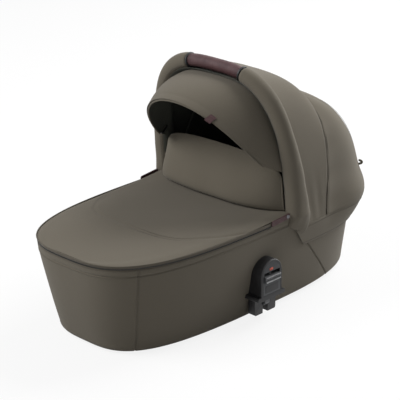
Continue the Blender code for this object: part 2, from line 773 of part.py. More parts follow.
def hood_front_point(share, u):
    """A point on the hood between the bows: share 0 behind the carry bow, 1 at the seam; u from -1 to 1."""
    around = (1 - abs(u)) * math.pi / 2
    narrow = math.cos(around)
    lift = math.sin(around)
    side = math.copysign(1.0, u)
    bow_x = BOW_HALF_WIDTH * narrow ** (2 / BOW_POWER_SHARE)
    bow_lift = lift ** (2 / BOW_POWER_SHARE)
    bow_z = HOOD_FOOT_Z + (BOW_TOP_Z - HOOD_FOOT_Z) * bow_lift
    bow_y = bow_y_at(bow_z) + BUMPER_RADIUS + GAP
    seam_rim = rounded(angle_of(HOOD_SEAM_Y, outline_at(RIM_HEIGHT)), outline_at(RIM_HEIGHT))[0]
    seam_x = seam_rim * narrow ** (2 / HOOD_MID_POWER_SHARE)
    seam_z = HOOD_FOOT_Z + (HOOD_MID_TOP_Z - HOOD_FOOT_Z) * lift ** (2 / HOOD_MID_POWER_SHARE)
    x = bow_x + (seam_x - bow_x) * share
    y = bow_y + (HOOD_SEAM_Y - GAP - bow_y) * share
    z = bow_z + (seam_z - bow_z) * share
    clear = CAP_RADIUS + CAP_CLEARANCE
    rise = z - PIVOT_Z
    if abs(rise) < clear:
        y = max(y, PIVOT_Y + math.sqrt(clear ** 2 - rise ** 2))
    return np.array([side * x, y, z]), HOOD_CROWN * crown_share(share) * lift ** HOOD_CROWN_SIDE_SHARE


def hood_front_grid(rows, columns, outset):
    """The front panel's surface, moved out from its middle line by outset, rows closer near the seam."""
    centre = np.array([0.0, PIVOT_Y, RIM_HEIGHT])
    grid = []
    for share in np.sin(np.linspace(0, math.pi / 2, rows)):
        row = []
        for u in np.linspace(1, -1, columns):
            point, crown = hood_front_point(share, u)
            away = point - centre
            away[1] = 0
            away /= np.linalg.norm(away)
            point = point + away * (outset + crown)
            point[2] = max(point[2], HOOD_FOOT_Z)
            row.append(point)
        grid.append(row)
    return np.array(grid)


def build_hood_front():
    """Front panel of the hood, the skirt band below the hood and a pull loop on each rear seam."""
    outer = hood_front_grid(7, 33, HOOD_SIDE_OUTSET)
    inner = hood_front_grid(7, 33, HOOD_SIDE_OUTSET - HOOD_SHEET)
    make("hood_front_panel", *slab(outer, inner), CANVAS)

    start = angle_of(SKIRT_FRONT_Y, outline_at(RIM_HEIGHT))
    angles = np.linspace(start, math.pi - start, 31)
    x, y, nx, ny = rim_frame_at(angles)
    back = (y - SKIRT_FRONT_Y) / (RIM_HEAD_REACH - SKIRT_FRONT_Y)
    bottom = HOOD_FOOT_Z - SKIRT_HEIGHT - SKIRT_FALL * back
    outside = -GAP * 2 - SKIRT_SHEET
    low = np.array([tub_ring(z, outside, angles[i:i + 1])[0] for i, z in enumerate(bottom)])
    out = hood_outset(HOOD_FOOT_Z, y)
    high = np.stack([x + nx * out, y + ny * out, np.full_like(x, HOOD_FOOT_Z - GAP)], 1)
    outer, inner = [], []
    for share in np.linspace(0, 1, 5):
        row = low + (high - low) * share
        outer.append(row)
        under = row - np.stack([nx, ny, np.zeros_like(nx)], 1) * SKIRT_SHEET
        inner.append(under)
    make("hood_skirt", *slab(np.array(outer), np.array(inner)), CANVAS)

    share = (math.asin((LOOP_RISE / (HOOD_MID_TOP_Z - HOOD_FOOT_Z)) ** (HOOD_MID_POWER_SHARE / 2))
             / (math.pi / 2))
    place = hood_rear_row(share, np.array([LOOP_ANGLE]), -GAP * 2 - LOOP_WIRE * 2)[0]
    x, y, nx, ny = rim_frame_at(np.array([LOOP_ANGLE]))
    turn = np.linspace(-math.pi / 2, math.pi / 2, 9)
    for name, side in SIDES.items():
        path = []
        for a in turn:
            out = LOOP_SIZE * math.cos(a)
            path.append(place + np.array([nx[0] * out, ny[0] * out, LOOP_SIZE / 2 * math.sin(a)]))
        points, faces = tube(path, LOOP_WIRE, 6)
        make(f"rear_loop_{name}", mirror(points, side), faces, CANVAS)


# Bows and their joints

def evenly(path, count):
    """Points at equal steps along a finely drawn path."""
    path = np.asarray(path, float)
    steps = np.concatenate([[0], np.cumsum(np.linalg.norm(np.diff(path, axis=0), axis=1))])
    wanted = np.linspace(0, steps[-1], count)
    return np.stack([np.interp(wanted, steps, path[:, k]) for k in range(3)], 1)


def bow_y_at(height):
    """The carry bow lies in one plane that leans towards the foot."""
    return BOW_FOOT_Y + (BOW_TOP_Y - BOW_FOOT_Y) * (height - BOW_FOOT_Z) / (BOW_TOP_Z - BOW_FOOT_Z)


def bow_x_at(height):
    """How far out the carry bow's middle line stands at a height."""
    share = (height - BOW_FOOT_Z) / (BOW_TOP_Z - BOW_FOOT_Z)
    return BOW_HALF_WIDTH * (1 - share ** BOW_POWER_SHARE) ** (1 / BOW_POWER_SHARE)


def arch(half_width, foot, top, power, start=0.0, fine=2400):
    """A bow from +X to -X between (y, z) of its foot and of its top, from a height share upwards."""
    first = math.asin(min(1.0, max(0.0, start)) ** (power / 2))
    a = np.linspace(first, math.pi - first, fine)
    x = half_width * np.sign(np.cos(a)) * np.abs(np.cos(a)) ** (2 / power)
    lift = np.abs(np.sin(a)) ** (2 / power)
    return np.stack([x, foot[0] + (top[0] - foot[0]) * lift, foot[1] + (top[1] - foot[1]) * lift], 1)


def bow_from(height):
    """The carry bow's middle line above a height."""
    share = (height - BOW_FOOT_Z) / (BOW_TOP_Z - BOW_FOOT_Z)
    return arch(BOW_HALF_WIDTH, (BOW_FOOT_Y, BOW_FOOT_Z), (BOW_TOP_Y, BOW_TOP_Z), BOW_POWER_SHARE, share)


PIVOT_Y = bow_y_at(PIVOT_Z)
LOOP_ANGLE = angle_of(LOOP_Y, outline_at(RIM_HEIGHT))
HUB_OUTER_X = BOW_HALF_WIDTH + BOW_RADIUS
HOUSING_OUTER_X = HUB_INNER_X - GAP
HOUSING_INNER_X = HOUSING_OUTER_X - HOUSING_THICKNESS
EYE_OUTER_X = HOUSING_INNER_X - GAP
EYE_INNER_X = EYE_OUTER_X - MID_EYE_THICKNESS
PIN_BORE = PIN_RADIUS + GAP
STEM_TOP = PIVOT_Z + CAP_RADIUS + GAP
BUMPER_FOOT_Z = STEM_TOP + GAP
PIVOT = (0.0, PIVOT_Y, PIVOT_Z)


def stretch(path, first, last):
    """The part of a path whose x lies between two limits."""
    keep = (path[:, 0] <= first) & (path[:, 0] >= last)
    return path[keep]


def build_carry_bow():
    """Tube, bow ends, padded bumpers, leather grip and its two end rings."""
    path = evenly(bow_from(STEM_TOP), BOW_STEPS)
    make("carry_tube", *tube(path, BOW_RADIUS, bore=BOW_BORE), STEEL, PIVOT)

    bore = BOW_RADIUS + SLEEVE_CLEARANCE
    grip = evenly(stretch(bow_from(STEM_TOP), GRIP_HALF_LENGTH, -GRIP_HALF_LENGTH), 9)
    make("grip_sleeve", *tube(grip, GRIP_RADIUS, 12, bore=bore), LEATHER, PIVOT)

    ring_end = GRIP_HALF_LENGTH + GAP * 2 + RING_WIDTH
    for name, side in SIDES.items():
        ring = evenly(stretch(bow_from(STEM_TOP), ring_end, GRIP_HALF_LENGTH + GAP * 2), 3)
        points, faces = tube(ring, RING_RADIUS, 12, bore=bore)
        make(f"grip_ring_{name}", mirror(points, side), faces, BLACK, PIVOT)

        line = evenly(stretch(bow_from(BUMPER_FOOT_Z), BOW_HALF_WIDTH, ring_end + GAP * 5), 15)
        share = np.linspace(0, 1, len(line))
        radii = BUMPER_RADIUS - (BUMPER_RADIUS - RING_RADIUS) * np.clip((share - 0.75) / 0.25, 0, 1)
        points, faces = tube(line, radii, 10, bore=bore)
        make(f"bumper_{name}", mirror(points, side), faces, CANVAS, PIVOT)

        build_bow_end(name, side)


def build_bow_end(name, side):
    """The moulded end of the carry bow: a hub on the pin, a stem and a spigot inside the tube."""
    profile = [(0, PIN_BORE), (0, HUB_RADIUS), (HUB_OUTER_X - HUB_INNER_X, HUB_RADIUS),
               (HUB_OUTER_X - HUB_INNER_X, PIN_BORE)]
    rings = turned(profile, (HUB_INNER_X, PIVOT_Y, PIVOT_Z), "x", HUB_STEPS)
    points, faces = loft(rings, True)
    hub = make(f"bow_end_{name}", mirror(points, side), faces, BLACK, (0, PIVOT_Y, PIVOT_Z))
    lean = np.array([0.0, BOW_TOP_Y - BOW_FOOT_Y, BOW_TOP_Z - BOW_FOOT_Z])
    lean /= np.linalg.norm(lean)
    centre = np.array([BOW_HALF_WIDTH, PIVOT_Y, PIVOT_Z])

    def along(distance):
        return centre + lean * distance

    reach = (STEM_TOP - PIVOT_Z) / lean[2]
    start = (PIN_BORE + HUB_RADIUS) / 2
    stem = tube([along(start), along(reach - GAP)], BOW_RADIUS - GAP, 12)
    spigot = tube([along(reach - BOW_RADIUS), along(reach + SPIGOT_LENGTH)], SPIGOT_RADIUS, 12)
    combine(hub, mirror(stem[0], side), stem[1], "UNION")
    combine(hub, mirror(spigot[0], side), spigot[1], "UNION")


HOUSING_FOOT_Z = FRAME_HEIGHT + FRAME_RADIUS * math.cos(math.pi / FRAME_SIDES) + GAP


def build_joints():
    """Fixed housing, pin, outer cap and button of each hood joint, and the mid bow on the pins."""
    foot = HOUSING_FOOT_Z
    outline = fillet_corners([(PIVOT_Y - HUB_RADIUS, foot), (PIVOT_Y + HOUSING_REAR, foot),
                              (PIVOT_Y + HOUSING_REAR, PIVOT_Z + HUB_RADIUS),
                              (PIVOT_Y - HUB_RADIUS, PIVOT_Z + HUB_RADIUS)], HOUSING_CORNER)
    top = PIVOT_Z + HUB_RADIUS
    button_y = PIVOT_Y + BUTTON_REACH
    middle = (HOUSING_INNER_X + HOUSING_OUTER_X) / 2
    frame_x = rounded(angle_of(PIVOT_Y, outline_at(FRAME_HEIGHT)), outline_at(FRAME_HEIGHT), FRAME_INSET)[0]
    flange_top = PIVOT_Z - HUB_RADIUS - GAP * 4
    for name, side in SIDES.items():
        points, faces = prism(outline, HOUSING_INNER_X, HOUSING_OUTER_X)
        housing = make(f"hood_joint_{name}", mirror(points, side), faces, DARK)
        flange = box((middle, float(frame_x) + FRAME_RADIUS / 2),
                     (PIVOT_Y - HUB_RADIUS + HOUSING_CORNER, PIVOT_Y + HOUSING_REAR - HOUSING_CORNER),
                     (foot, flange_top))
        combine(housing, mirror(flange[0], side), flange[1], "UNION")
        bore = loft(turned([(0, PIN_BORE), (HOUSING_THICKNESS + OVERRUN * 2, PIN_BORE)],
                           (HOUSING_INNER_X - OVERRUN, PIVOT_Y, PIVOT_Z), "x", HUB_STEPS))
        combine(housing, mirror(bore[0], side), bore[1], "DIFFERENCE")
        depth = BUTTON_STAND * 2 + BUTTON_TRAVEL + GAP
        well = loft(turned([(0, BUTTON_RADIUS + GAP), (depth + OVERRUN, BUTTON_RADIUS + GAP)],
                           (middle, button_y, top - depth), "z", 16))
        combine(housing, mirror(well[0], side), well[1], "DIFFERENCE")

        seat = top - BUTTON_STAND * 2
        profile = [(0, BUTTON_RADIUS), (BUTTON_STAND * 3 - GAP * 2, BUTTON_RADIUS),
                   (BUTTON_STAND * 3, BUTTON_RADIUS - GAP * 2)]
        disc(f"hood_button_{name}", profile, (side * middle, button_y, seat), RED, "z", 16,
             origin=(side * middle, button_y, seat))

        length = HUB_OUTER_X - EYE_INNER_X
        head = PIN_RADIUS / 2
        wide = PIN_RADIUS * 1.6
        profile = [(-head - GAP, wide), (-GAP, wide), (-GAP, PIN_RADIUS), (length, PIN_RADIUS)]
        points, faces = loft(turned(profile, (EYE_INNER_X, PIVOT_Y, PIVOT_Z), "x", HUB_STEPS))
        make(f"hood_pin_{name}", mirror(points, side), faces, STEEL)

        profile = [(0, CAP_RADIUS), (CAP_BULGE * 0.45, CAP_RADIUS * 0.93),
                   (CAP_BULGE * 0.8, CAP_RADIUS * 0.72), (CAP_BULGE, CAP_RADIUS * 0.35)]
        points, faces = loft(turned(profile, (HUB_OUTER_X + GAP, PIVOT_Y, PIVOT_Z), "x", HUB_STEPS))
        make(f"joint_cap_{name}", mirror(points, side), faces, CANVAS)

    build_mid_bow()


def build_mid_bow():
    """Wire bow under the hood's mid seam, with an eye on each pin."""
    top_z = HOOD_MID_TOP_Z - MID_RADIUS - GAP * 2
    path = arch(MID_HALF_WIDTH, (PIVOT_Y, PIVOT_Z), (HOOD_SEAM_Y - MID_RADIUS * 3, top_z), MID_POWER_SHARE)
    eye_x = (EYE_INNER_X + EYE_OUTER_X) / 2
    away = np.linalg.norm(path[:, 1:] - np.array([PIVOT_Y, PIVOT_Z]), axis=1)
    clear = math.hypot(HOUSING_REAR, PIVOT_Z - HOUSING_FOOT_Z) + MID_RADIUS
    near = 1 - np.clip((away - clear) / MID_JOGGLE, 0, 1)
    near = near * near * (3 - 2 * near)
    inner = np.minimum(np.abs(path[:, 0]), eye_x - GAP * 2)
    path[:, 0] = np.sign(path[:, 0]) * (np.abs(path[:, 0]) * (1 - near) + inner * near)
    path = path[away > MID_EYE_RADIUS * 0.75]
    wire = make("mid_bow", *tube(evenly(path, BOW_STEPS), MID_RADIUS - GAP, 6), STEEL, PIVOT)
    for side in SIDES.values():
        profile = [(0, PIN_BORE), (0, MID_EYE_RADIUS), (MID_EYE_THICKNESS, MID_EYE_RADIUS),
                   (MID_EYE_THICKNESS, PIN_BORE)]
        eye = loft(turned(profile, (EYE_INNER_X, PIVOT_Y, PIVOT_Z), "x", HUB_STEPS), True)
        combine(wire, mirror(eye[0], side), eye[1], "UNION")


# Visor

def visor_edge(grow=0.0, start=0.0):
    """Middle line of the visor's wire, or a line set out from it."""
    return arch(VISOR_HALF_WIDTH + grow, (VISOR_PIVOT_Y, VISOR_PIVOT_Z),
                (VISOR_EDGE_Y - grow, VISOR_EDGE_Z + grow), VISOR_POWER_SHARE, start)


def visor_grid(rows, columns, outset):
    """The visor's sheet from under the carry bow to its wire."""
    under = BUMPER_RADIUS + GAP * 2 + VISOR_SHEET
    share = (VISOR_START_Z - BOW_FOOT_Z) / (BOW_TOP_Z - under - BOW_FOOT_Z)
    back = evenly(arch(BOW_HALF_WIDTH - under, (BOW_FOOT_Y - GAP, BOW_FOOT_Z),
                       (BOW_TOP_Y - GAP, BOW_TOP_Z - under), BOW_POWER_SHARE, share), columns)
    grow = VISOR_WIRE_RADIUS + GAP * 2
    start = (VISOR_START_Z - VISOR_PIVOT_Z) / (VISOR_EDGE_Z - VISOR_PIVOT_Z)
    front = evenly(visor_edge(grow, start), columns)
    centre = np.array([0.0, (BOW_TOP_Y + VISOR_EDGE_Y) / 2, VISOR_PIVOT_Z])
    grid = []
    for t in np.linspace(0, 1, rows):
        row = back + (front - back) * t
        away = row - centre
        away[:, 1] = 0
        away /= np.linalg.norm(away, axis=1)[:, None]
        lift = np.sin(np.linspace(0, math.pi, columns))[:, None]
        grid.append(row + away * (VISOR_BULGE * math.sin(math.pi * t) * lift + outset))
    return np.array(grid)


def build_visor():
    """Wire, sheet, pull tab and the two lugs that carry the wire on the bow."""
    end = bow_x_at(VISOR_PIVOT_Z + LUG_RADIUS) - BUMPER_RADIUS - GAP * 2
    edge = evenly(visor_edge(), BOW_STEPS)
    reach = np.array([end - GAP, VISOR_PIVOT_Y, VISOR_PIVOT_Z])
    path = np.concatenate([[reach], edge, [reach * np.array([-1, 1, 1])]])
    make("visor_wire", *tube(path, VISOR_WIRE_RADIUS, 6), STEEL, (0, VISOR_PIVOT_Y, VISOR_PIVOT_Z))

    outer = visor_grid(5, 29, VISOR_SHEET)
    inner = visor_grid(5, 29, 0.0)
    make("visor_panel", *slab(outer, inner), CANVAS, (0, VISOR_PIVOT_Y, VISOR_PIVOT_Z))

    fine = visor_grid(41, 81, VISOR_SHEET)
    column = int(np.argmin(np.abs(fine[-1, :, 0] - TAB_X)))
    down = fine[-1, column] - fine[-12, column]
    down /= np.linalg.norm(down)
    beside = fine[-1, column + 2] - fine[-1, column - 2]
    beside -= down * beside.dot(down)
    beside /= np.linalg.norm(beside)
    face = np.cross(beside, down)
    face *= math.copysign(1.0, face[2])
    base = fine[-1, column] + face * GAP * 2
    corners = []
    for depth in (0.0, TAB_SHEET):
        corners.append(np.array([[base + beside * TAB_WIDTH * a + down * TAB_LENGTH * b + face * depth
                                  for a in (-0.5, 0.5)] for b in (-0.6, 0.0, 0.4)]))
    make("visor_tab", *slab(corners[1], corners[0]), LEATHER, (0, VISOR_PIVOT_Y, VISOR_PIVOT_Z))

    tail_y = bow_y_at(VISOR_PIVOT_Z)
    outline = fillet_corners([(VISOR_PIVOT_Y - LUG_RADIUS, VISOR_PIVOT_Z - LUG_RADIUS),
                              (tail_y, VISOR_PIVOT_Z - LUG_RADIUS), (tail_y, VISOR_PIVOT_Z + LUG_RADIUS),
                              (VISOR_PIVOT_Y - LUG_RADIUS, VISOR_PIVOT_Z + LUG_RADIUS)], LUG_RADIUS - GAP)
    for name, side in SIDES.items():
        points, faces = prism(outline, end - LUG_THICKNESS, end)
        lug = make(f"visor_lug_{name}", mirror(points, side), faces, BLACK, PIVOT)
        bore = loft(turned([(0, LUG_BORE), (LUG_THICKNESS + OVERRUN * 2, LUG_BORE)],
                           (end - LUG_THICKNESS - OVERRUN, VISOR_PIVOT_Y, VISOR_PIVOT_Z), "x", 12))
        combine(lug, mirror(bore[0], side), bore[1], "DIFFERENCE")


# Wind guard

def build_guard():
    """The padded flap that stands up between the bows and folds down on the apron."""
    rows, columns = 8, 19
    across = np.sin(np.linspace(-1, 1, columns) * math.pi / 2) * 0.975
    rim_wide = outline_at(RIM_HEIGHT)[0]
    front, back = [], []
    for t in np.linspace(0, 1, rows):
        first, second = [], []
        for u in across:
            x = u * (GUARD_HALF_WIDTH - GUARD_TOP_NARROWING * t)
            foot_z = RIM_HEIGHT + GAP * 2 + APRON_CROWN * (1 - (x / rim_wide) ** 4)
            arch_share = (1 - abs(u) ** GUARD_POWER_SHARE) ** (1 / GUARD_POWER_SHARE)
            z = foot_z + (GUARD_TOP_Z - foot_z) * t * arch_share
            foot_y = GUARD_FOOT_Y + GUARD_FOOT_BACK * abs(u) ** 3 + GUARD_FOOT_CORNER * abs(u) ** 10
            top_y = GUARD_TOP_Y - GUARD_TOP_FORWARD * abs(u) ** 2 + GUARD_TOP_CORNER * abs(u) ** 8
            swell = math.sin(math.pi * t) * (1 - u ** 4)
            y = foot_y + (top_y - foot_y) * t - GUARD_BULGE * swell
            depth = GUARD_EDGE_THICKNESS + GUARD_PADDING * swell
            first.append((x, y, z))
            second.append((x, y + depth, z))
        front.append(first)
        back.append(second)
    make("wind_guard", *slab(np.array(front), np.array(back)), CANVAS,
         (0, GUARD_FOOT_Y, RIM_HEIGHT + APRON_CROWN + GUARD_AXIS_RISE))


# Side straps

def build_straps():
    """Leather strap from the end of the zip band to the hood joint."""
    stations = np.linspace(STRAP_START_Y, STRAP_END_Y, 8)
    for name, side in SIDES.items():
        inner, outer = [], []
        for y in stations:
            share = (y - STRAP_START_Y) / (STRAP_END_Y - STRAP_START_Y)
            middle = RIM_HEIGHT - STRAP_RISE / 3 + STRAP_RISE * share
            x = RIM_HALF_WIDTH + GAP + share * GAP * 4
            for rows, depth in ((inner, 0.0), (outer, STRAP_SHEET)):
                low, high = middle - STRAP_HEIGHT / 2, middle + STRAP_HEIGHT / 2
                rows.append([(x + depth, y, low), (x + depth, y, high)])
        points, faces = slab(np.array(outer), np.array(inner))
        make(f"side_strap_{name}", mirror(points, side), faces, LEATHER)


# Adapters

def arch_outline(half_width, bottom, top, steps=12):
    """Straight sides that end in a half-round top, as (y, z) pairs about the adapter's middle."""
    a = np.linspace(0, math.pi, steps + 1)
    crown = [(ADAPTER_Y + half_width * math.cos(t), top - half_width + half_width * math.sin(t)) for t in a]
    return [(ADAPTER_Y - half_width, bottom), (ADAPTER_Y + half_width, bottom)] + crown


def sloped(outline, inset, front_x):
    """An outline carried from the tub's sloping wall to a flat front."""
    back = np.array([(wall_x(z, inset) + GAP, y, z) for y, z in outline])
    front = np.array([(front_x, y, z) for y, z in outline])
    return [back, front]


def build_adapter(name, side):
    """Housing with collar, forked prong and boss, and all that works inside it."""
    collar_top = COLLAR_BOTTOM + COLLAR_HEIGHT
    bevel = FACE_MARGIN / 3
    outline = arch_outline(ADAPTER_HALF_WIDTH, collar_top - OVERRUN / 2, ADAPTER_TOP)
    back, front = sloped(outline, 0.0, ADAPTER_FRONT_X - bevel)
    small = arch_outline(ADAPTER_HALF_WIDTH - bevel, collar_top - OVERRUN / 2, ADAPTER_TOP - bevel)
    nose = np.array([(ADAPTER_FRONT_X, y, z) for y, z in small])
    points, faces = loft([back, front, nose])
    housing = make(f"adapter_housing_{name}", mirror(points, side), faces, BLACK)

    def add(solid, operation):
        combine(housing, mirror(solid[0], side), solid[1], operation)

    near, far = ADAPTER_Y - COLLAR_HALF_WIDTH, ADAPTER_Y + COLLAR_HALF_WIDTH
    ends = fillet_corners([(near, COLLAR_BOTTOM), (far, COLLAR_BOTTOM), (far, collar_top),
                           (near, collar_top)], COLLAR_HEIGHT / 3, 3)
    add(loft(sloped(ends, 0.0, ADAPTER_FRONT_X)), "UNION")
    near, far = ADAPTER_Y - ADAPTER_HALF_WIDTH, ADAPTER_Y + ADAPTER_HALF_WIDTH
    prong_top = COLLAR_BOTTOM + OVERRUN
    foot = fillet_corners([(near, PRONG_BOTTOM), (far, PRONG_BOTTOM), (far, prong_top), (near, prong_top)],
                          NOTCH_HALF_WIDTH / 2)
    add(prism(foot, PRONG_BACK_X, PRONG_FRONT_X), "UNION")
    boss = [(ADAPTER_Y - BOSS_HALF_WIDTH, BOSS_BOTTOM), (ADAPTER_Y + BOSS_HALF_WIDTH, BOSS_BOTTOM),
            (ADAPTER_Y + BOSS_HALF_WIDTH, BOSS_TOP), (ADAPTER_Y - BOSS_HALF_WIDTH, BOSS_TOP)]
    add(loft(sloped(boss, UPRIGHT_INSET, wall_x(ADAPTER_TOP) + OVERRUN)), "UNION")
    notch_top = PRONG_BOTTOM + NOTCH_HEIGHT
    add(box((PRONG_BACK_X - OVERRUN, PRONG_FRONT_X + OVERRUN),
            (ADAPTER_Y - NOTCH_HALF_WIDTH, ADAPTER_Y + NOTCH_HALF_WIDTH),
            (PRONG_BOTTOM - OVERRUN, notch_top)), "DIFFERENCE")
    face_half = ADAPTER_HALF_WIDTH - FACE_MARGIN
    face_top = ADAPTER_TOP - FACE_MARGIN
    recess = arch_outline(face_half, FACE_BOTTOM, face_top)
    add(prism(recess, ADAPTER_FRONT_X - FACE_DEPTH, ADAPTER_FRONT_X + OVERRUN), "DIFFERENCE")
    pocket_half = face_half - GAP * 3
    pocket_top = LEVER_BOTTOM + LEVER_HEIGHT + LEVER_TRAVEL + GAP * 3
    pocket_back = ADAPTER_FRONT_X - LEVER_POCKET_DEPTH
    add(box((pocket_back, ADAPTER_FRONT_X + OVERRUN), (ADAPTER_Y - pocket_half, ADAPTER_Y + pocket_half),
            (LEVER_BOTTOM - GAP, pocket_top)), "DIFFERENCE")
    spring_x = pocket_back + SPRING_RADIUS + SPRING_WIRE + GAP * 2
    spring_top = pocket_top + SPRING_REACH
    well_radius = SPRING_RADIUS + SPRING_WIRE + GAP
    well = loft(turned([(0, well_radius), (spring_top - pocket_top + OVERRUN, well_radius)],
                       (spring_x, ADAPTER_Y, pocket_top - OVERRUN), "z", 12))
    add(well, "DIFFERENCE")

    plate = arch_outline(face_half - GAP, FACE_BOTTOM + GAP, face_top - GAP)
    points, faces = prism(plate, ADAPTER_FRONT_X - FACE_DEPTH + GAP, ADAPTER_FRONT_X)
    face = make(f"adapter_face_{name}", mirror(points, side), faces, DARK)
    window = box((ADAPTER_FRONT_X - OVERRUN, ADAPTER_FRONT_X + OVERRUN),
                 (ADAPTER_Y - pocket_half + FACE_DEPTH, ADAPTER_Y + pocket_half - FACE_DEPTH),
                 (LEVER_BOTTOM - GAP, pocket_top))
    combine(face, mirror(window[0], side), window[1], "DIFFERENCE")

    lever_half = pocket_half - FACE_DEPTH - LEVER_SIDE_CLEARANCE
    rib = LEVER_HEIGHT / (LEVER_RIB_COUNT * 2 + 1)
    lever_nose, lever_back = ADAPTER_FRONT_X + LEVER_STAND, pocket_back + GAP
    ribbed = [(lever_back, LEVER_BOTTOM), (lever_nose, LEVER_BOTTOM)]
    for i in range(LEVER_RIB_COUNT):
        low = LEVER_BOTTOM + rib * (2 * i + 1)
        ribbed += [(lever_nose, low), (lever_nose - rib / 2, low + rib / 4),
                   (lever_nose - rib / 2, low + rib * 3 / 4), (lever_nose, low + rib)]
    ribbed += [(lever_nose, LEVER_BOTTOM + LEVER_HEIGHT), (lever_back, LEVER_BOTTOM + LEVER_HEIGHT)]
    points, faces = prism(ribbed, ADAPTER_Y - lever_half, ADAPTER_Y + lever_half, "y")
    make(f"release_lever_{name}", mirror(points, side), faces, GREY, (0, ADAPTER_Y, LEVER_BOTTOM))

    turn = np.linspace(0, SPRING_TURNS * 2 * math.pi, SPRING_TURNS * 8 + 1)
    low = LEVER_BOTTOM + LEVER_HEIGHT + SPRING_WIRE + GAP
    high = spring_top - SPRING_WIRE - GAP
    coil = np.stack([spring_x + SPRING_RADIUS * np.cos(turn), ADAPTER_Y + SPRING_RADIUS * np.sin(turn),
                     np.linspace(low, high, len(turn))], 1)
    points, faces = tube(coil, SPRING_WIRE, 4)
    make(f"lever_spring_{name}", mirror(points, side), faces, STEEL)

    latch_half = NOTCH_HALF_WIDTH - GAP * 2
    latch_top = notch_top - GAP
    latch_low = latch_top - LATCH_HEIGHT
    latch_back = wall_x(latch_top, 0.0) + LATCH_TRAVEL + GAP * 2
    latch_nose = PRONG_FRONT_X + LATCH_STAND
    outline = [(latch_back, latch_low), (PRONG_FRONT_X, latch_low),
               (latch_nose, latch_top - LATCH_HEIGHT / 2), (latch_nose, latch_top), (latch_back, latch_top)]
    points, faces = prism(outline, ADAPTER_Y - latch_half, ADAPTER_Y + latch_half, "y")
    seat = (side * latch_back, ADAPTER_Y, latch_top)
    make(f"latch_tongue_{name}", mirror(points, side), faces, GREY, seat)


build_base()
build_inside()
build_cover()
build_apron()
build_hood_fabric()
build_hood_front()
build_carry_bow()
build_joints()
build_visor()
build_guard()
build_straps()
for side_name, sign in SIDES.items():
    build_adapter(side_name, sign)
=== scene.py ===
"""Carrycot for a pushchair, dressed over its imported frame.

Each sub-assembly is a class: the tub's cover, the apron, the hood, the carry bow, the visor, the wind guard,
the inside, the adapters and the small trim. Lengths are metres in the row frame, foot end towards -Y.
"""

import json
import logging
from dataclasses import dataclass
from enum import Enum
from math import asin, copysign, cos, pi, radians, sin
from typing import Callable, Optional, Sequence, Union

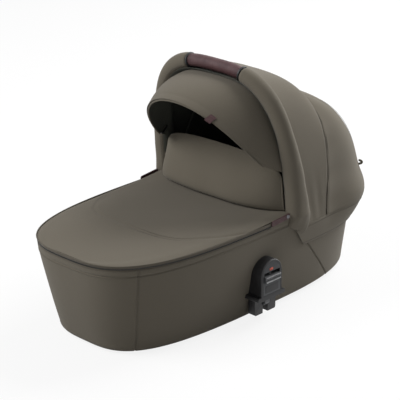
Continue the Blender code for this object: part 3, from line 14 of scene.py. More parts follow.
import bmesh
import bpy
import numpy as np
from mathutils import Vector
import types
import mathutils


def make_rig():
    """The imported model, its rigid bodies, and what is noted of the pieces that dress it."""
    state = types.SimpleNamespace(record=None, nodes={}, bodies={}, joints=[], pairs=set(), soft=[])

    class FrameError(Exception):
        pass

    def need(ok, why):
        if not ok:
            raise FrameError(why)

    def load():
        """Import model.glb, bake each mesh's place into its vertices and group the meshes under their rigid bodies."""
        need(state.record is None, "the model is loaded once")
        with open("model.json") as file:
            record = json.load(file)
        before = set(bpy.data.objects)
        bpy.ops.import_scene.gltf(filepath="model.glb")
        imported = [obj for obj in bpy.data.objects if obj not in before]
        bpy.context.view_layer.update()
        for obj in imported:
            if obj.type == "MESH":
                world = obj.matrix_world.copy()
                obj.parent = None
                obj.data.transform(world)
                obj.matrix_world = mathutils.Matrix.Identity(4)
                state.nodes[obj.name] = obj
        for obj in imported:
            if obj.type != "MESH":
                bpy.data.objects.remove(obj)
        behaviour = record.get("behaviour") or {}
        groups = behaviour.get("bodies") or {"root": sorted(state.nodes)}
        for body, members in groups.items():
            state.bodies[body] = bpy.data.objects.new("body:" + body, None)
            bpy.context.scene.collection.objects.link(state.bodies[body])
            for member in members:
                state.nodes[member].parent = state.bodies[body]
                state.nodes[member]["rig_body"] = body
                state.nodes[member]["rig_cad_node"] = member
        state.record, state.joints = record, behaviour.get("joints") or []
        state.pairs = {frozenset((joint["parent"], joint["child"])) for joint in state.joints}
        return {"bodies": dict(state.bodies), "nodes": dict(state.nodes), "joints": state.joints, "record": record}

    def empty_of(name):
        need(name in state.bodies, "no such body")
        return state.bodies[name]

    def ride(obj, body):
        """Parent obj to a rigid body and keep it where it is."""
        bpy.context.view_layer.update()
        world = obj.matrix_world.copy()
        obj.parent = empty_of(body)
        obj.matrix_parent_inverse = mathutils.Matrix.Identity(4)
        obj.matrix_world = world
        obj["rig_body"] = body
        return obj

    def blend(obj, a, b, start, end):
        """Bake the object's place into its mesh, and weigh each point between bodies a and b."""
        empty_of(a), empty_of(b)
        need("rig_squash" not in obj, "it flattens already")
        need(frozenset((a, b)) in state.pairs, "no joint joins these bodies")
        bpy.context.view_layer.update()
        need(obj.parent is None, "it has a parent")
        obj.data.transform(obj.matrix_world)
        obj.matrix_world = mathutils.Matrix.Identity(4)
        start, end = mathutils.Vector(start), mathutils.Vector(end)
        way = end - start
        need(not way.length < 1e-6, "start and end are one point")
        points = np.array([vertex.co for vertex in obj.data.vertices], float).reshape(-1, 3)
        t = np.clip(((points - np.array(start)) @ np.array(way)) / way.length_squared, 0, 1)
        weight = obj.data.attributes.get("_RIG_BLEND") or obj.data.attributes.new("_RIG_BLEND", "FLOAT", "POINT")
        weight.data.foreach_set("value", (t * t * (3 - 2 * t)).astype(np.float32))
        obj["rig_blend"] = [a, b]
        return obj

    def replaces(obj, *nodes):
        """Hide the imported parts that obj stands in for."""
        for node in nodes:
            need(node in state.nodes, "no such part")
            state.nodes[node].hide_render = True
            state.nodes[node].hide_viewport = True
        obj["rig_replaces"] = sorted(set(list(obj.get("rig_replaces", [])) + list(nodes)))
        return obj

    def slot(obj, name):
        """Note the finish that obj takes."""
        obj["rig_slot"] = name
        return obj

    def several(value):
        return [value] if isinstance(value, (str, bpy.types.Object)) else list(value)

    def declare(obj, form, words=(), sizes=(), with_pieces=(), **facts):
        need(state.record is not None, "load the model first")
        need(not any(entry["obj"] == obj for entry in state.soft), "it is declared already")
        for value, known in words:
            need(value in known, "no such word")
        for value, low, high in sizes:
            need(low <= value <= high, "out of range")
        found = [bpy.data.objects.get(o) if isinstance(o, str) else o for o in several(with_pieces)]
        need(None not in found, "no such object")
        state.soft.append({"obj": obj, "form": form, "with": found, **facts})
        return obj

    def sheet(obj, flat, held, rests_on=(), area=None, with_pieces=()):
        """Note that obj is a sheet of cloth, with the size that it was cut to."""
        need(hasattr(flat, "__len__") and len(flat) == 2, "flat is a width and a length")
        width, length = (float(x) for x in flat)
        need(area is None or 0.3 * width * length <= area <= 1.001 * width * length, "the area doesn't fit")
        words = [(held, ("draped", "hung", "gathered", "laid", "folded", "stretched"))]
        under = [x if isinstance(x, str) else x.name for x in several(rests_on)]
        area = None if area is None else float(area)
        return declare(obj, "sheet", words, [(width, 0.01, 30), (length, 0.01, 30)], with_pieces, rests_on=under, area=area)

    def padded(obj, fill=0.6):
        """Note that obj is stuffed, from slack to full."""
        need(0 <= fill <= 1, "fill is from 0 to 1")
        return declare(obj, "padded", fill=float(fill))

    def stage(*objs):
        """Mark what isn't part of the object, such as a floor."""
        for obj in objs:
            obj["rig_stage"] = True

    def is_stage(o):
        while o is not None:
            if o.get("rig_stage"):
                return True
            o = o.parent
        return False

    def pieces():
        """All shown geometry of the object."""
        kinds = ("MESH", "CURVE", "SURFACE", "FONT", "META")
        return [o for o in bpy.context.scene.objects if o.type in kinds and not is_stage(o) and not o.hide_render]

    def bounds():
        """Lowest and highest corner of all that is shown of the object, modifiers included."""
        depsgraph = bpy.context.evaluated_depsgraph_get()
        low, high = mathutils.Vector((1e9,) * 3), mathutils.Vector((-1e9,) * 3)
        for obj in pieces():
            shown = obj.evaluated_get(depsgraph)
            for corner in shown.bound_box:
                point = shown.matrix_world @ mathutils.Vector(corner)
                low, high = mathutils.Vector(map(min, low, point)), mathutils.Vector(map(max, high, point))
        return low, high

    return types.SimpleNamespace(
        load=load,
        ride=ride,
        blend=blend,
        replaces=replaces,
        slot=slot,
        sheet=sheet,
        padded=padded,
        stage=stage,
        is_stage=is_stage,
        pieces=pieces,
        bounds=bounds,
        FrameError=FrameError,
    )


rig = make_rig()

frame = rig.load()
CAD_BOX = [[float(c) for c in corner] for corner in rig.bounds()]

log = logging.getLogger("carrycot")
Array = np.ndarray
Colour = tuple[float, float, float]
Material = bpy.types.Material
Piece = bpy.types.Object
Socket = bpy.types.NodeSocket
Tint = Union[Colour, Socket]
Spot = tuple[float, float, float, float]

SHIFT_Y = -0.0056
SIDES: dict[str, int] = {"right": 1, "left": -1}


# Shader maths

Value = Union["Signal", float]


class Signal:
    """A number over the surface: a socket that adds Math nodes when it is reckoned with."""

    def __init__(self, graph: "Graph", socket: Socket) -> None:
        """Keeps the graph and the output socket that carries the number."""
        self.graph = graph
        self.socket = socket

    def __add__(self, other: Value) -> "Signal":
        """This plus other."""
        return self.graph.maths("ADD", self, other)

    def __sub__(self, other: Value) -> "Signal":
        """This less other."""
        return self.graph.maths("SUBTRACT", self, other)

    def __rsub__(self, other: Value) -> "Signal":
        """Other less this."""
        return self.graph.maths("SUBTRACT", other, self)

    def __mul__(self, other: Value) -> "Signal":
        """This times other."""
        return self.graph.maths("MULTIPLY", self, other)

    def sine(self) -> "Signal":
        """The sine of this, in radians."""
        return self.graph.maths("SINE", self)

    def size(self) -> "Signal":
        """This without its sign."""
        return self.graph.maths("ABSOLUTE", self)

    def within(self, low: float, high: float) -> "Signal":
        """This carried from low..high to 0..1 and held there."""
        return self.graph.node("ShaderNodeMapRange", {"clamp": True},
                               {"Value": self, "From Min": low, "From Max": high}, "Result")


class Graph:
    """A node graph with one method that adds any node."""

    def __init__(self, name: str, owner: Optional[bpy.types.World] = None) -> None:
        """Starts a material of that name with its shader, or an empty graph for the owner.

        Args:
            name: the material's name.
            owner: the surroundings, where the graph is theirs.
        """
        self.material = owner or bpy.data.materials.new(name)
        self.material.use_nodes = True
        self.tree = self.material.node_tree
        self.shader = self.tree.nodes.get("Principled BSDF")

    def node(self, kind: str, settings: Optional[dict] = None, inputs: Optional[dict] = None,
             output: Union[str, int, None] = None) -> Union[bpy.types.Node, Signal]:
        """Adds a node, sets it up, then feeds its sockets.

        Args:
            kind: the node's type.
            settings: properties of the node, set first; a ramp's stops come as "stops".
            inputs: socket names or numbers with a value, a Signal or a socket for each.
            output: the socket to hand back; the node itself when left out.

        Returns:
            The node, or a Signal on its named output.
        """
        made = self.tree.nodes.new(kind)
        for key, value in (settings or {}).items():
            if key == "stops":
                ramp = made.color_ramp
                while len(ramp.elements) < len(value):
                    ramp.elements.new(0.5)
                for stop, (place, colour) in zip(ramp.elements, value):
                    stop.position = place
                    stop.color = (*colour, 1.0)
            else:
                setattr(made, key, value)
        for key, value in (inputs or {}).items():
            socket = made.inputs[key]
            if isinstance(value, Signal):
                self.tree.links.new(value.socket, socket)
            elif isinstance(value, Socket):
                self.tree.links.new(value, socket)
            else:
                socket.default_value = value
        return made if output is None else Signal(self, made.outputs[output])

    def maths(self, operation: str, *values: Value) -> Signal:
        """One Math node of that operation over the values."""
        return self.node("ShaderNodeMath", {"operation": operation}, dict(enumerate(values)), 0)

    def place(self) -> Socket:
        """Object coordinates: metres in the row frame."""
        return self.node("ShaderNodeTexCoord").outputs["Object"]

    def cloth(self) -> Socket:
        """The piece's own map: metres along and across the cloth."""
        return self.node("ShaderNodeUVMap", {"uv_map": "cloth"}).outputs["UV"]

    def noise(self, vector: Socket, scale: float, detail: float = 3.0) -> Signal:
        """Smooth noise from 0 to 1 over a vector, with so many bumps per metre and so many octaves."""
        return self.node("ShaderNodeTexNoise", {"noise_dimensions": "3D"},
                         {"Vector": vector, "Scale": scale, "Detail": detail, "Roughness": 0.55}, 0)

    def stretched(self, vector: Socket, scale: Sequence[float]) -> Socket:
        """The coordinates times a factor on each axis."""
        return self.node("ShaderNodeMapping", {"vector_type": "POINT"},
                         {"Vector": vector, "Scale": tuple(scale)}).outputs[0]

    def blend(self, factor: Value, first: Tint, second: Tint) -> Socket:
        """Mixes two colours.

        Args:
            factor: share of the second colour.
            first: colour or colour socket.
            second: colour or colour socket.

        Returns:
            The mixed colour's socket.
        """
        def full(value: Tint) -> object:
            """A colour with its alpha, or the socket as it is."""
            return (*value, 1.0) if isinstance(value, tuple) else value

        return self.node("ShaderNodeMix", {"data_type": "RGBA"},
                         {0: factor, 6: full(first), 7: full(second)}).outputs[2]

    def split(self, vector: Socket) -> tuple[Signal, Signal, Signal]:
        """The three parts of a vector."""
        return tuple(Signal(self, part) for part in self.node("ShaderNodeSeparateXYZ", None, {0: vector}).outputs)

    def bump(self, height: Signal, strength: float, distance: float) -> None:
        """Feeds the shader's Normal from a height of 0 to 1, by its strength and its depth in metres."""
        made = self.node("ShaderNodeBump", None, {"Strength": strength, "Distance": distance, "Height": height})
        self.tree.links.new(made.outputs["Normal"], self.shader.inputs["Normal"])

    def wear(self, base: Tint, roughness: Value, **fixed: object) -> None:
        """Sets the shader: base colour, roughness and plain values on their own sockets.

        Args:
            base: colour or colour socket.
            roughness: number or signal.
            fixed: socket names, with _ for a space, and their constant values.
        """
        if isinstance(base, tuple):
            self.shader.inputs["Base Color"].default_value = (*base, 1.0)
            self.material.diffuse_color = (*base, 1.0)
        else:
            self.tree.links.new(base, self.shader.inputs["Base Color"])
        if isinstance(roughness, Signal):
            self.tree.links.new(roughness.socket, self.shader.inputs["Roughness"])
        else:
            self.shader.inputs["Roughness"].default_value = roughness
        for key, value in fixed.items():
            self.shader.inputs[key.replace("_", " ")].default_value = value


# Finishes

@dataclass(frozen=True)
class Woven:
    """A plain-woven melange cloth: two crossing sets of threads, each with its own shade."""

    name: str
    warp: Colour
    weft: Colour
    fleck: Colour
    threads: float = 4200.0
    depth: float = 0.0001
    sheen: float = 0.12
    rough: float = 0.9

    def build(self) -> Material:
        """The cloth's material.

        The weave's height is the larger of two crossed rows of half sine waves, and the melange comes from
        noise drawn out along each set of threads.

        Returns:
            The material.
        """
        g = Graph(self.name)
        uv = g.cloth()
        u, v, _ = g.split(uv)
        across = (u * self.threads).sine()
        along = (v * self.threads).sine()
        over = across * along
        height = over * 0.25 + 0.5
        slub = g.noise(g.stretched(uv, (1.0, 0.12, 1.0)), 1500.0, 2.0)
        slub_across = g.noise(g.stretched(uv, (0.12, 1.0, 1.0)), 1500.0, 2.0)
        side = over.within(-0.35, 0.35)
        cloth = g.blend(side, self.warp, self.weft)
        flecks = (slub.within(0.52, 0.7) + slub_across.within(0.54, 0.72)) * 0.5
        cloth = g.blend(flecks * 0.4, cloth, self.fleck)
        broad = g.noise(g.place(), 7.0, 3.0)
        cloth = g.blend(broad.within(0.3, 0.75) * 0.16, cloth, tuple(0.72 * c for c in self.warp))
        g.wear(cloth, slub * 0.08 + (self.rough - 0.04), Sheen_Weight=self.sheen, Sheen_Roughness=0.55,
               Specular_IOR_Level=0.1)
        soft = g.noise(g.place(), 55.0, 3.0)
        g.bump(height + (slub + slub_across) * 0.35 + soft * 2.0, 0.5, self.depth)
        return g.material


@dataclass(frozen=True)
class Quilted:
    """Soft dark lining or mattress cloth with a diamond quilt pressed into it."""

    name: str
    colour: Colour
    pitch: float = 0.042
    relief: float = 0.0022
    rough: float = 0.95

    def build(self) -> Material:
        """The quilted cloth: two sets of slanted lines make the diamonds, a fine noise makes the pile, and the colour
        is painted darker along the lines and lighter on the puffs, as painted shade and light of the relief.

        Returns:
            The material.
        """
        g = Graph(self.name)
        uv = g.cloth()
        u, v, _ = g.split(uv)
        step = pi / self.pitch
        first = ((u + v) * step).sine().size()
        second = ((u - v) * step).sine().size()
        puff = first.within(0.0, 0.5) * second.within(0.0, 0.5)
        pile = g.noise(uv, 900.0, 3.0)
        # Painted shade and light: the colour is darker in the quilting lines and lighter on the puffs, following the
        # quilt's relief. The pile noise is the cloth's own tone.
        cloth = g.blend(puff * 0.55 + pile * 0.3, tuple(0.6 * c for c in self.colour),
                        tuple(1.3 * c for c in self.colour))
        g.wear(cloth, pile * 0.06 + (self.rough - 0.05), Sheen_Weight=0.3, Specular_IOR_Level=0.2)
        g.bump(puff + pile * 0.12, 0.7, self.relief)
        return g.material


@dataclass(frozen=True)
class Grained:
    """Leather: pebbled grain, darker in its creases and a little polished where hands touch it."""

    name: str
    colour: Colour
    polish: Colour
    grain: float = 620.0

    def build(self) -> Material:
        """The leather: cell edges sink, broad noise mixes in the polished shade.

        Returns:
            The material.
        """
        g = Graph(self.name)
        place = g.place()
        cells = g.node("ShaderNodeTexVoronoi", {"feature": "DISTANCE_TO_EDGE"},
                       {"Vector": place, "Scale": self.grain, "Randomness": 0.9}, "Distance")
        pebble = cells.within(0.0, 0.28)
        broad = g.noise(place, 38.0, 4.0)
        fine = g.noise(place, 240.0, 3.0)
        hide = g.blend(broad.within(0.35, 0.75), self.colour, self.polish)
        hide = g.blend((1 - pebble) * 0.55, hide, tuple(0.35 * c for c in self.colour))
        g.wear(hide, 0.62 - broad * 0.22 + fine * 0.08, Specular_IOR_Level=0.42)
        g.bump(pebble + fine * 0.4, 0.55, 0.0003)
        return g.material


@dataclass(frozen=True)
class Moulded:
    """Injection-moulded plastic with a fine spark-eroded texture."""

    name: str
    colour: Colour
    rough: float = 0.48
    texture: float = 1400.0
    depth: float = 0.00012
    speck: float = 0.12

    def build(self) -> Material:
        """The plastic: very fine noise for the texture, broad noise for handling marks.

        Returns:
            The material.
        """
        g = Graph(self.name)
        place = g.place()
        fine = g.noise(place, self.texture, 2.0)
        broad = g.noise(place, 26.0, 4.0)
        tint = g.blend(broad.within(0.35, 0.8) * self.speck, self.colour,
                       tuple(min(1.0, c * 1.5 + 0.02) for c in self.colour))
        g.wear(tint, broad * 0.16 + fine * 0.06 + (self.rough - 0.1), Specular_IOR_Level=0.45)
        g.bump(fine, 0.35, self.depth)
        return g.material


@dataclass(frozen=True)
class Drawn:
    """Drawn steel: fine lines along the bar and a soft shine."""

    name: str
    colour: Colour
    rough: float = 0.32

    def build(self) -> Material:
        """The steel: noise drawn out to long scratches.

        Returns:
            The material.
        """
        g = Graph(self.name)
        lines = g.noise(g.stretched(g.place(), (1.0, 0.06, 1.0)), 900.0, 2.0)
        blotch = g.noise(g.place(), 30.0, 3.0)
        tint = g.blend(blotch * 0.3, self.colour, tuple(0.7 * c for c in self.colour))
        g.wear(tint, lines * 0.18 + (self.rough - 0.06), Metallic=1.0)
        g.bump(lines, 0.2, 0.0001)
        return g.material


@dataclass(frozen=True)
class Plain:
    """A quiet hidden surface, such as foam board, with its own grain."""

    name: str
    colour: Colour
    rough: float = 0.9
    grain: float = 180.0

    def build(self) -> Material:
        """The surface: one noise for shade and relief.

        Returns:
            The material.
        """
        g = Graph(self.name)
        noise = g.noise(g.place(), self.grain, 4.0)
        tint = g.blend(noise * 0.5, self.colour, tuple(0.75 * c for c in self.colour))
        g.wear(tint, noise * 0.1 + (self.rough - 0.05))
        g.bump(noise, 0.3, 0.0003)
        return g.material


class Palette:
    """Every finish of the carrycot, built once."""

    def __init__(self) -> None:
        """Builds the materials."""
        self.canvas = Woven("canvas", (0.176, 0.155, 0.12), (0.138, 0.121, 0.093), (0.236, 0.212, 0.171)).build()
        self.lining = Woven("lining", (0.108, 0.112, 0.094), (0.086, 0.09, 0.076), (0.14, 0.143, 0.124),
                            sheen=0.1).build()
        self.trim = Woven("trim", (0.138, 0.121, 0.094), (0.108, 0.094, 0.073), (0.19, 0.17, 0.138),
                          threads=5200.0).build()
        self.quilt = Quilted("quilt", (0.03, 0.03, 0.024)).build()
        self.ticking = Quilted("ticking", (0.3, 0.29, 0.262), 0.055).build()
        self.leather = Grained("leather", (0.066, 0.025, 0.028), (0.13, 0.06, 0.062)).build()
        fine = 2600.0
        self.thread = Moulded("thread", (0.118, 0.104, 0.084), 0.75, fine).build()
        self.thread_dark = Moulded("thread_dark", (0.052, 0.046, 0.037), 0.75, fine).build()
        self.leather_thread = Moulded("leather_thread", (0.15, 0.085, 0.08), 0.7, fine).build()
        self.black = Moulded("black_plastic", (0.008, 0.008, 0.009), 0.5).build()
        self.dark = Moulded("dark_plastic", (0.021, 0.023, 0.026), 0.42).build()
        self.grey = Moulded("grey_plastic", (0.105, 0.108, 0.112), 0.42).build()
        # Light grey for the painted highlights along the release lever's long edges.
        self.light = Moulded("painted_highlight_plastic", (0.42, 0.425, 0.43), 0.42).build()
        self.red = Moulded("red_plastic", (0.52, 0.07, 0.035), 0.45).build()
        self.rubber = Moulded("rubber", (0.018, 0.018, 0.018), 0.8, 700.0).build()
        self.steel = Drawn("steel", (0.42, 0.42, 0.43)).build()
        self.snap = Drawn("snap_steel", (0.17, 0.17, 0.18), 0.3).build()
        self.board = Plain("board", (0.3, 0.29, 0.27)).build()


# Mesh tools

def arc_map(grid: Array) -> Array:
    """Cloth map of a grid in metres: u runs with the arc length along each row, v down each column.

    Args:
        grid: rows of points.

    Returns:
        Map places (rows, columns, 2), centred on the middle row and column.
    """
    u, v = way_along(grid), way_along(grid.swapaxes(0, 1)).T
    u -= u[:, u.shape[1] // 2][:, None]
    v -= v[v.shape[0] // 2][None, :]
    return np.stack([u, v], 2)


def normals_of(grid: Array) -> Array:
    """Unit normals of a grid: the cross product of its two directions at each point.

    Args:
        grid: rows of points.

    Returns:
        Normals of the same shape.
    """
    first = np.gradient(grid, axis=1)
    second = np.gradient(grid, axis=0)
    normal = np.cross(first, second)
    size = np.linalg.norm(normal, axis=2, keepdims=True)
    return normal / np.maximum(size, 1e-12)


def way_along(path: Array) -> Array:
    """Length of a path, or of each row of a grid, up to each of its points."""
    steps = np.linalg.norm(np.diff(path, axis=-2), axis=-1)
    return np.concatenate([np.zeros((*steps.shape[:-1], 1)), np.cumsum(steps, -1)], -1)


def unit(vectors: Array) -> Array:
    """The vectors at length one, by their last axis."""
    return vectors / np.linalg.norm(vectors, axis=-1, keepdims=True)


def held(share: Array) -> Array:
    """A share held between 0 and 1."""
    return np.clip(share, 0, 1)


def smooth(share: Array) -> Array:
    """A share held between 0 and 1 and eased at both ends."""
    share = held(share)
    return share * share * (3 - 2 * share)


def full_turn(count: int) -> Array:
    """Angles at equal steps once round, the first at 0."""
    return np.linspace(0, 2 * pi, count, endpoint=False)


def smaller_turn(turn: Array) -> Array:
    """Angles brought into -pi..pi."""
    return np.angle(np.exp(1j * turn))


def quads(rows: int, columns: int, wrap_rows: bool = False, wrap_columns: bool = False) -> Array:
    """Corner numbers of every cell of a grid, as whole arrays.

    Args:
        rows: points down.
        columns: points across.
        wrap_rows: the last row joins the first.
        wrap_columns: the last column joins the first.

    Returns:
        Cells (count, 4).
    """
    i = np.arange(rows if wrap_rows else rows - 1)[:, None]
    j = np.arange(columns if wrap_columns else columns - 1)[None, :]
    i2, j2 = (i + 1) % rows, (j + 1) % columns
    cells = np.stack(np.broadcast_arrays(i * columns + j, i * columns + j2, i2 * columns + j2, i2 * columns + j), -1)
    return cells.reshape(-1, 4)


def capped(rows: int, sides: int) -> list[list[int]]:
    """Cells of a tube of so many rows that close on themselves, with a face at each end."""
    ends = [list(range(sides))[::-1], list(range((rows - 1) * sides, rows * sides))]
    return quads(rows, sides, False, True).tolist() + ends


def mesh_piece(name: str, points: Array, faces: Sequence[Sequence[int]], material: Material,
               uv: Optional[Array] = None, sharp: float = 40.0) -> Piece:
    """Puts arrays into a mesh object whose faces look outwards.

    Args:
        name: the piece's name.
        points: (count, 3) in metres.
        faces: corner numbers.
        material: its first finish.
        uv: (count, 2) cloth map, one place for each point.
        sharp: edges over this angle in degrees stay sharp.

    Returns:
        The object, at the origin.
    """
    mesh = bpy.data.meshes.new(name)
    mesh.from_pydata(np.asarray(points, float).tolist(), [], [list(map(int, face)) for face in faces])
    if uv is not None:
        layer = mesh.uv_layers.new(name="cloth")
        corner = np.empty(len(mesh.loops), np.int32)
        mesh.loops.foreach_get("vertex_index", corner)
        layer.data.foreach_set("uv", np.asarray(uv, np.float32)[corner].ravel())
    work = bmesh.new()
    work.from_mesh(mesh)
    bmesh.ops.recalc_face_normals(work, faces=work.faces)
    if work.calc_volume(signed=True) < 0:
        bmesh.ops.reverse_faces(work, faces=work.faces)
    work.to_mesh(mesh)
    work.free()
    mesh.materials.append(material)
    piece = bpy.data.objects.new(name, mesh)
    bpy.context.collection.objects.link(piece)
    mesh.shade_smooth()
    mesh.set_sharp_from_angle(angle=radians(sharp))
    return piece


def shell(name: str, front: Array, back: Array, outside: Material, inside: Optional[Material] = None,
          sharp: float = 50.0) -> Piece:
    """A closed piece between two grids of the same size, which share the front's arc-length map.

    Args:
        name: the piece's name.
        front: outer surface as rows of points.
        back: inner surface, point for point behind the front.
        outside: finish of the front and of the edges.
        inside: finish of the back, the front's when left out.
        sharp: edges over this angle in degrees stay sharp.

    Returns:
        The object.
    """
    rows, columns = front.shape[:2]
    count = rows * columns
    points = np.concatenate([front.reshape(-1, 3), back.reshape(-1, 3)])
    uv = np.tile(arc_map(front).reshape(-1, 2), (2, 1))
    cells = quads(rows, columns)
    index = np.arange(count).reshape(rows, columns)
    rim = np.concatenate([index[0], index[1:, -1], index[-1, -2::-1], index[-2:0:-1, 0]])
    after = np.roll(rim, -1)
    edge = np.stack([rim, rim + count, after + count, after], 1)
    whole = np.concatenate([cells, cells[:, ::-1] + count, edge])
    piece = mesh_piece(name, points, whole, outside, uv, sharp=sharp)
    if inside is not None:
        piece.data.materials.append(inside)
        slots = np.zeros(len(whole), np.int32)
        slots[len(cells):2 * len(cells)] = 1
        piece.data.polygons.foreach_set("material_index", slots)
    return piece


def cloth_piece(name: str, grid: Array, thickness: float, outside: Material,
                inside: Optional[Material] = None) -> Piece:
    """A sheet of cloth from its outer surface, whose normals must look outwards, and its thickness in metres."""
    return shell(name, grid, grid - normals_of(grid) * thickness, outside, inside)


def frames_along(path: Array) -> tuple[Array, Array]:
    """Two unit vectors square to a path at each point, carried along it without twist.

    Args:
        path: (count, 3).

    Returns:
        First and second vectors, each (count, 3).
    """
    ahead = unit(np.gradient(path, axis=0))
    side = np.cross(ahead[0], (0.0, 1.0, 0.001))
    if np.linalg.norm(side) < 0.1:
        side = np.cross(ahead[0], (0.0, 0.0, 1.0))
    sides = []
    for step in ahead:
        side = unit(side - step * side.dot(step))
        sides.append(side)
    first = np.array(sides)
    return first, np.cross(ahead, first)


def pipe(name: str, path: Array, radius: Union[float, Array], material: Material, sides: int = 16,
         bore: float = 0.0, squash: float = 1.0, relief: Optional[Callable[[Array, Array], Array]] = None) -> Piece:
    """A round bar, or a sleeve when it has a bore, along a path.

    Each section is a circle of the local radius, wide along the first frame vector and squashed along the
    second; relief adds to the radius as a function of the way along and the angle.

    Args:
        name: the piece's name.
        path: middle line (count, 3).
        radius: metres, one or one for each point.
        material: finish.
        sides: points round the section.
        bore: radius of the hole, 0 for a solid bar.
        squash: height over width of the section.
        relief: extra radius from (way along in metres, angle).

    Returns:
        The object.
    """
    path = np.asarray(path, float)
    count = len(path)
    radii = np.broadcast_to(np.asarray(radius, float), (count,))
    first, second = frames_along(path)
    turn = full_turn(sides)
    way = way_along(path)
    reach = radii[:, None] + (relief(way[:, None], turn[None, :]) if relief else 0)
    ring = (np.cos(turn)[None, :, None] * first[:, None, :] + np.sin(turn)[None, :, None] * second[:, None, :] * squash)
    outer = path[:, None, :] + ring * reach[..., None]
    uv = np.stack(np.broadcast_arrays(turn[None, :] * radii.mean(), way[:, None]), -1)
    if bore > 0:
        inner = (path[:, None, :] + ring * bore)[::-1]
        points = np.concatenate([outer, inner]).reshape(-1, 3)
        uv = np.concatenate([uv, uv[::-1]]).reshape(-1, 2)
        return mesh_piece(name, points, quads(count * 2, sides, True, True), material, uv, sharp=50.0)
    return mesh_piece(name, outer.reshape(-1, 3), capped(count, sides), material, uv.reshape(-1, 2), sharp=50.0)


def turned(name: str, profile: Sequence[tuple[float, float]], centre: Sequence[float], axis: Sequence[float],
           material: Material) -> Piece:
    """A turned piece: a profile of (place along the axis, radius) spun round it.

    Args:
        name: the piece's name.
        profile: from one end to the other; a radius of 0 closes an end at a point.
        centre: the axis's zero point.
        axis: direction.
        material: finish.

    Returns:
        The object.
    """
    steps = 40
    ahead = unit(np.asarray(axis, float))
    first = unit(np.cross(ahead, (0.0, 0.0, 1.0) if abs(ahead[2]) < 0.9 else (1.0, 0.0, 0.0)))
    second = np.cross(ahead, first)
    turn = full_turn(steps)
    table = np.asarray(profile, float)
    ring = np.cos(turn)[:, None] * first + np.sin(turn)[:, None] * second
    grid = (np.asarray(centre, float) + table[:, 0, None, None] * ahead
            + np.maximum(table[:, 1], 1e-6)[:, None, None] * ring[None])
    uv = np.stack(np.broadcast_arrays(turn[None, :] * table[:, 1].max(), table[:, 0, None]), -1)
    return mesh_piece(name, grid.reshape(-1, 3), capped(len(table), steps), material, uv.reshape(-1, 2))


def evenly(path: Array, count: int) -> Array:
    """The path again with its points at equal steps of its length.

    Args:
        path: points (any count, 3).
        count: points wanted.

    Returns:
        Points (count, 3).
    """
    path = np.asarray(path, float)
    way = way_along(path)
    wanted = np.linspace(0, way[-1], count)
    return np.stack([np.interp(wanted, way, path[:, k]) for k in range(3)], 1)


def stitches(name: str, path: Array, up: Array, material: Material, length: float = 0.0032,
             gap: float = 0.0011, width: float = 0.0009, height: float = 0.0006) -> Piece:
    """A run of thread stitches laid along a path on a surface.

    Each stitch is a low bar of four five-sided sections whose middle stands up; its ends dive into the cloth.

    Args:
        name: the piece's name.
        path: points on the surface.
        up: the surface's outward normals at them.
        material: thread.
        length: of one stitch.
        gap: between two.
        width: of the thread.
        height: the crown over the cloth.

    Returns:
        The object.
    """
    path = np.asarray(path, float)
    way = way_along(path)
    count = max(2, int(way[-1] / (length + gap)))
    starts = (np.arange(count) + 0.5) * way[-1] / count
    share = np.array([-0.5, -0.28, 0.28, 0.5])
    at = starts[:, None] + share[None, :] * length

    def along(values: Array) -> Array:
        """Values at the stitches' places."""
        return np.stack([np.interp(at, way, values[:, k]) for k in range(3)], -1)

    place, normal = along(path), unit(along(np.asarray(up, float)))
    ahead = np.gradient(place, axis=1)
    ahead /= np.maximum(np.linalg.norm(ahead, axis=-1, keepdims=True), 1e-9)
    side = np.cross(ahead, normal)
    side /= np.maximum(np.linalg.norm(side, axis=-1, keepdims=True), 1e-9)
    crown = np.array([-0.5, 1.0, 1.0, -0.5])[None, :, None] * height
    wide = np.array([0.5, 1.0, 1.0, 0.5])[None, :, None] * width / 2
    low = place - normal * height * 0.8
    rows = np.stack([low - side * wide, low + side * wide, place + normal * crown * 0.75 + side * wide * 0.75,
                     place + normal * crown, place + normal * crown * 0.75 - side * wide * 0.75], 2)
    first = np.arange(count)[:, None, None] * 20
    cells = (quads(4, 5, False, True)[None] + first).reshape(-1, 4).tolist()
    ends = np.array([[4, 3, 2, 1, 0], [15, 16, 17, 18, 19]])
    cells += (ends[None] + first).reshape(-1, 5).tolist()
    return mesh_piece(name, rows.reshape(-1, 3), cells, material)


def polished(name: str, node: str, material: Material, width: float) -> Piece:
    """A copy of a CAD node with its edges eased, that stands for the node.

    Args:
        name: the new piece's name.
        node: the CAD node.
        material: finish.
        width: of the eased edge; edges over 30 degrees are eased.

    Returns:
        The object.
    """
    mesh = frame["nodes"][node].data.copy()
    mesh.name = name
    work = bmesh.new()
    work.from_mesh(mesh)
    bmesh.ops.remove_doubles(work, verts=work.verts, dist=0.00002)
    bmesh.ops.dissolve_limit(work, angle_limit=radians(2.0), verts=work.verts, edges=work.edges)
    work.to_mesh(mesh)
    work.free()
    mesh.materials.clear()
    mesh.materials.append(material)
    mesh.shade_smooth()
    piece = bpy.data.objects.new(name, mesh)
    bpy.context.collection.objects.link(piece)
    ease = piece.modifiers.new("eased", "BEVEL")
    ease.width = width
    ease.segments = 3
    ease.limit_method = "ANGLE"
    ease.angle_limit = radians(30.0)
    ease.harden_normals = True
    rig.replaces(piece, node)
    return piece


def dress(piece: Piece, body: Optional[str], slot: str, *nodes: str) -> None:
    """Says which CAD nodes a piece stands for, which body it rides and which finish of the record it has.

    Args:
        piece: the piece.
        body: its body's name, None for a piece that is blended between two.
        slot: the record's name for its finish.
        nodes: the CAD nodes that it replaces, none for added detail.
    """
    if nodes:
        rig.replaces(piece, *nodes)
    if body is not None:
        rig.ride(piece, body)
    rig.slot(piece, slot)


def finish_node(node: str, material: Material) -> None:
    """Gives a CAD node that stays a better finish.

    Args:
        node: the node's name.
        material: its finish.
    """
    slots = frame["nodes"][node].material_slots
    for slot in slots:
        slot.material = material
    if not slots:
        frame["nodes"][node].data.materials.append(material)


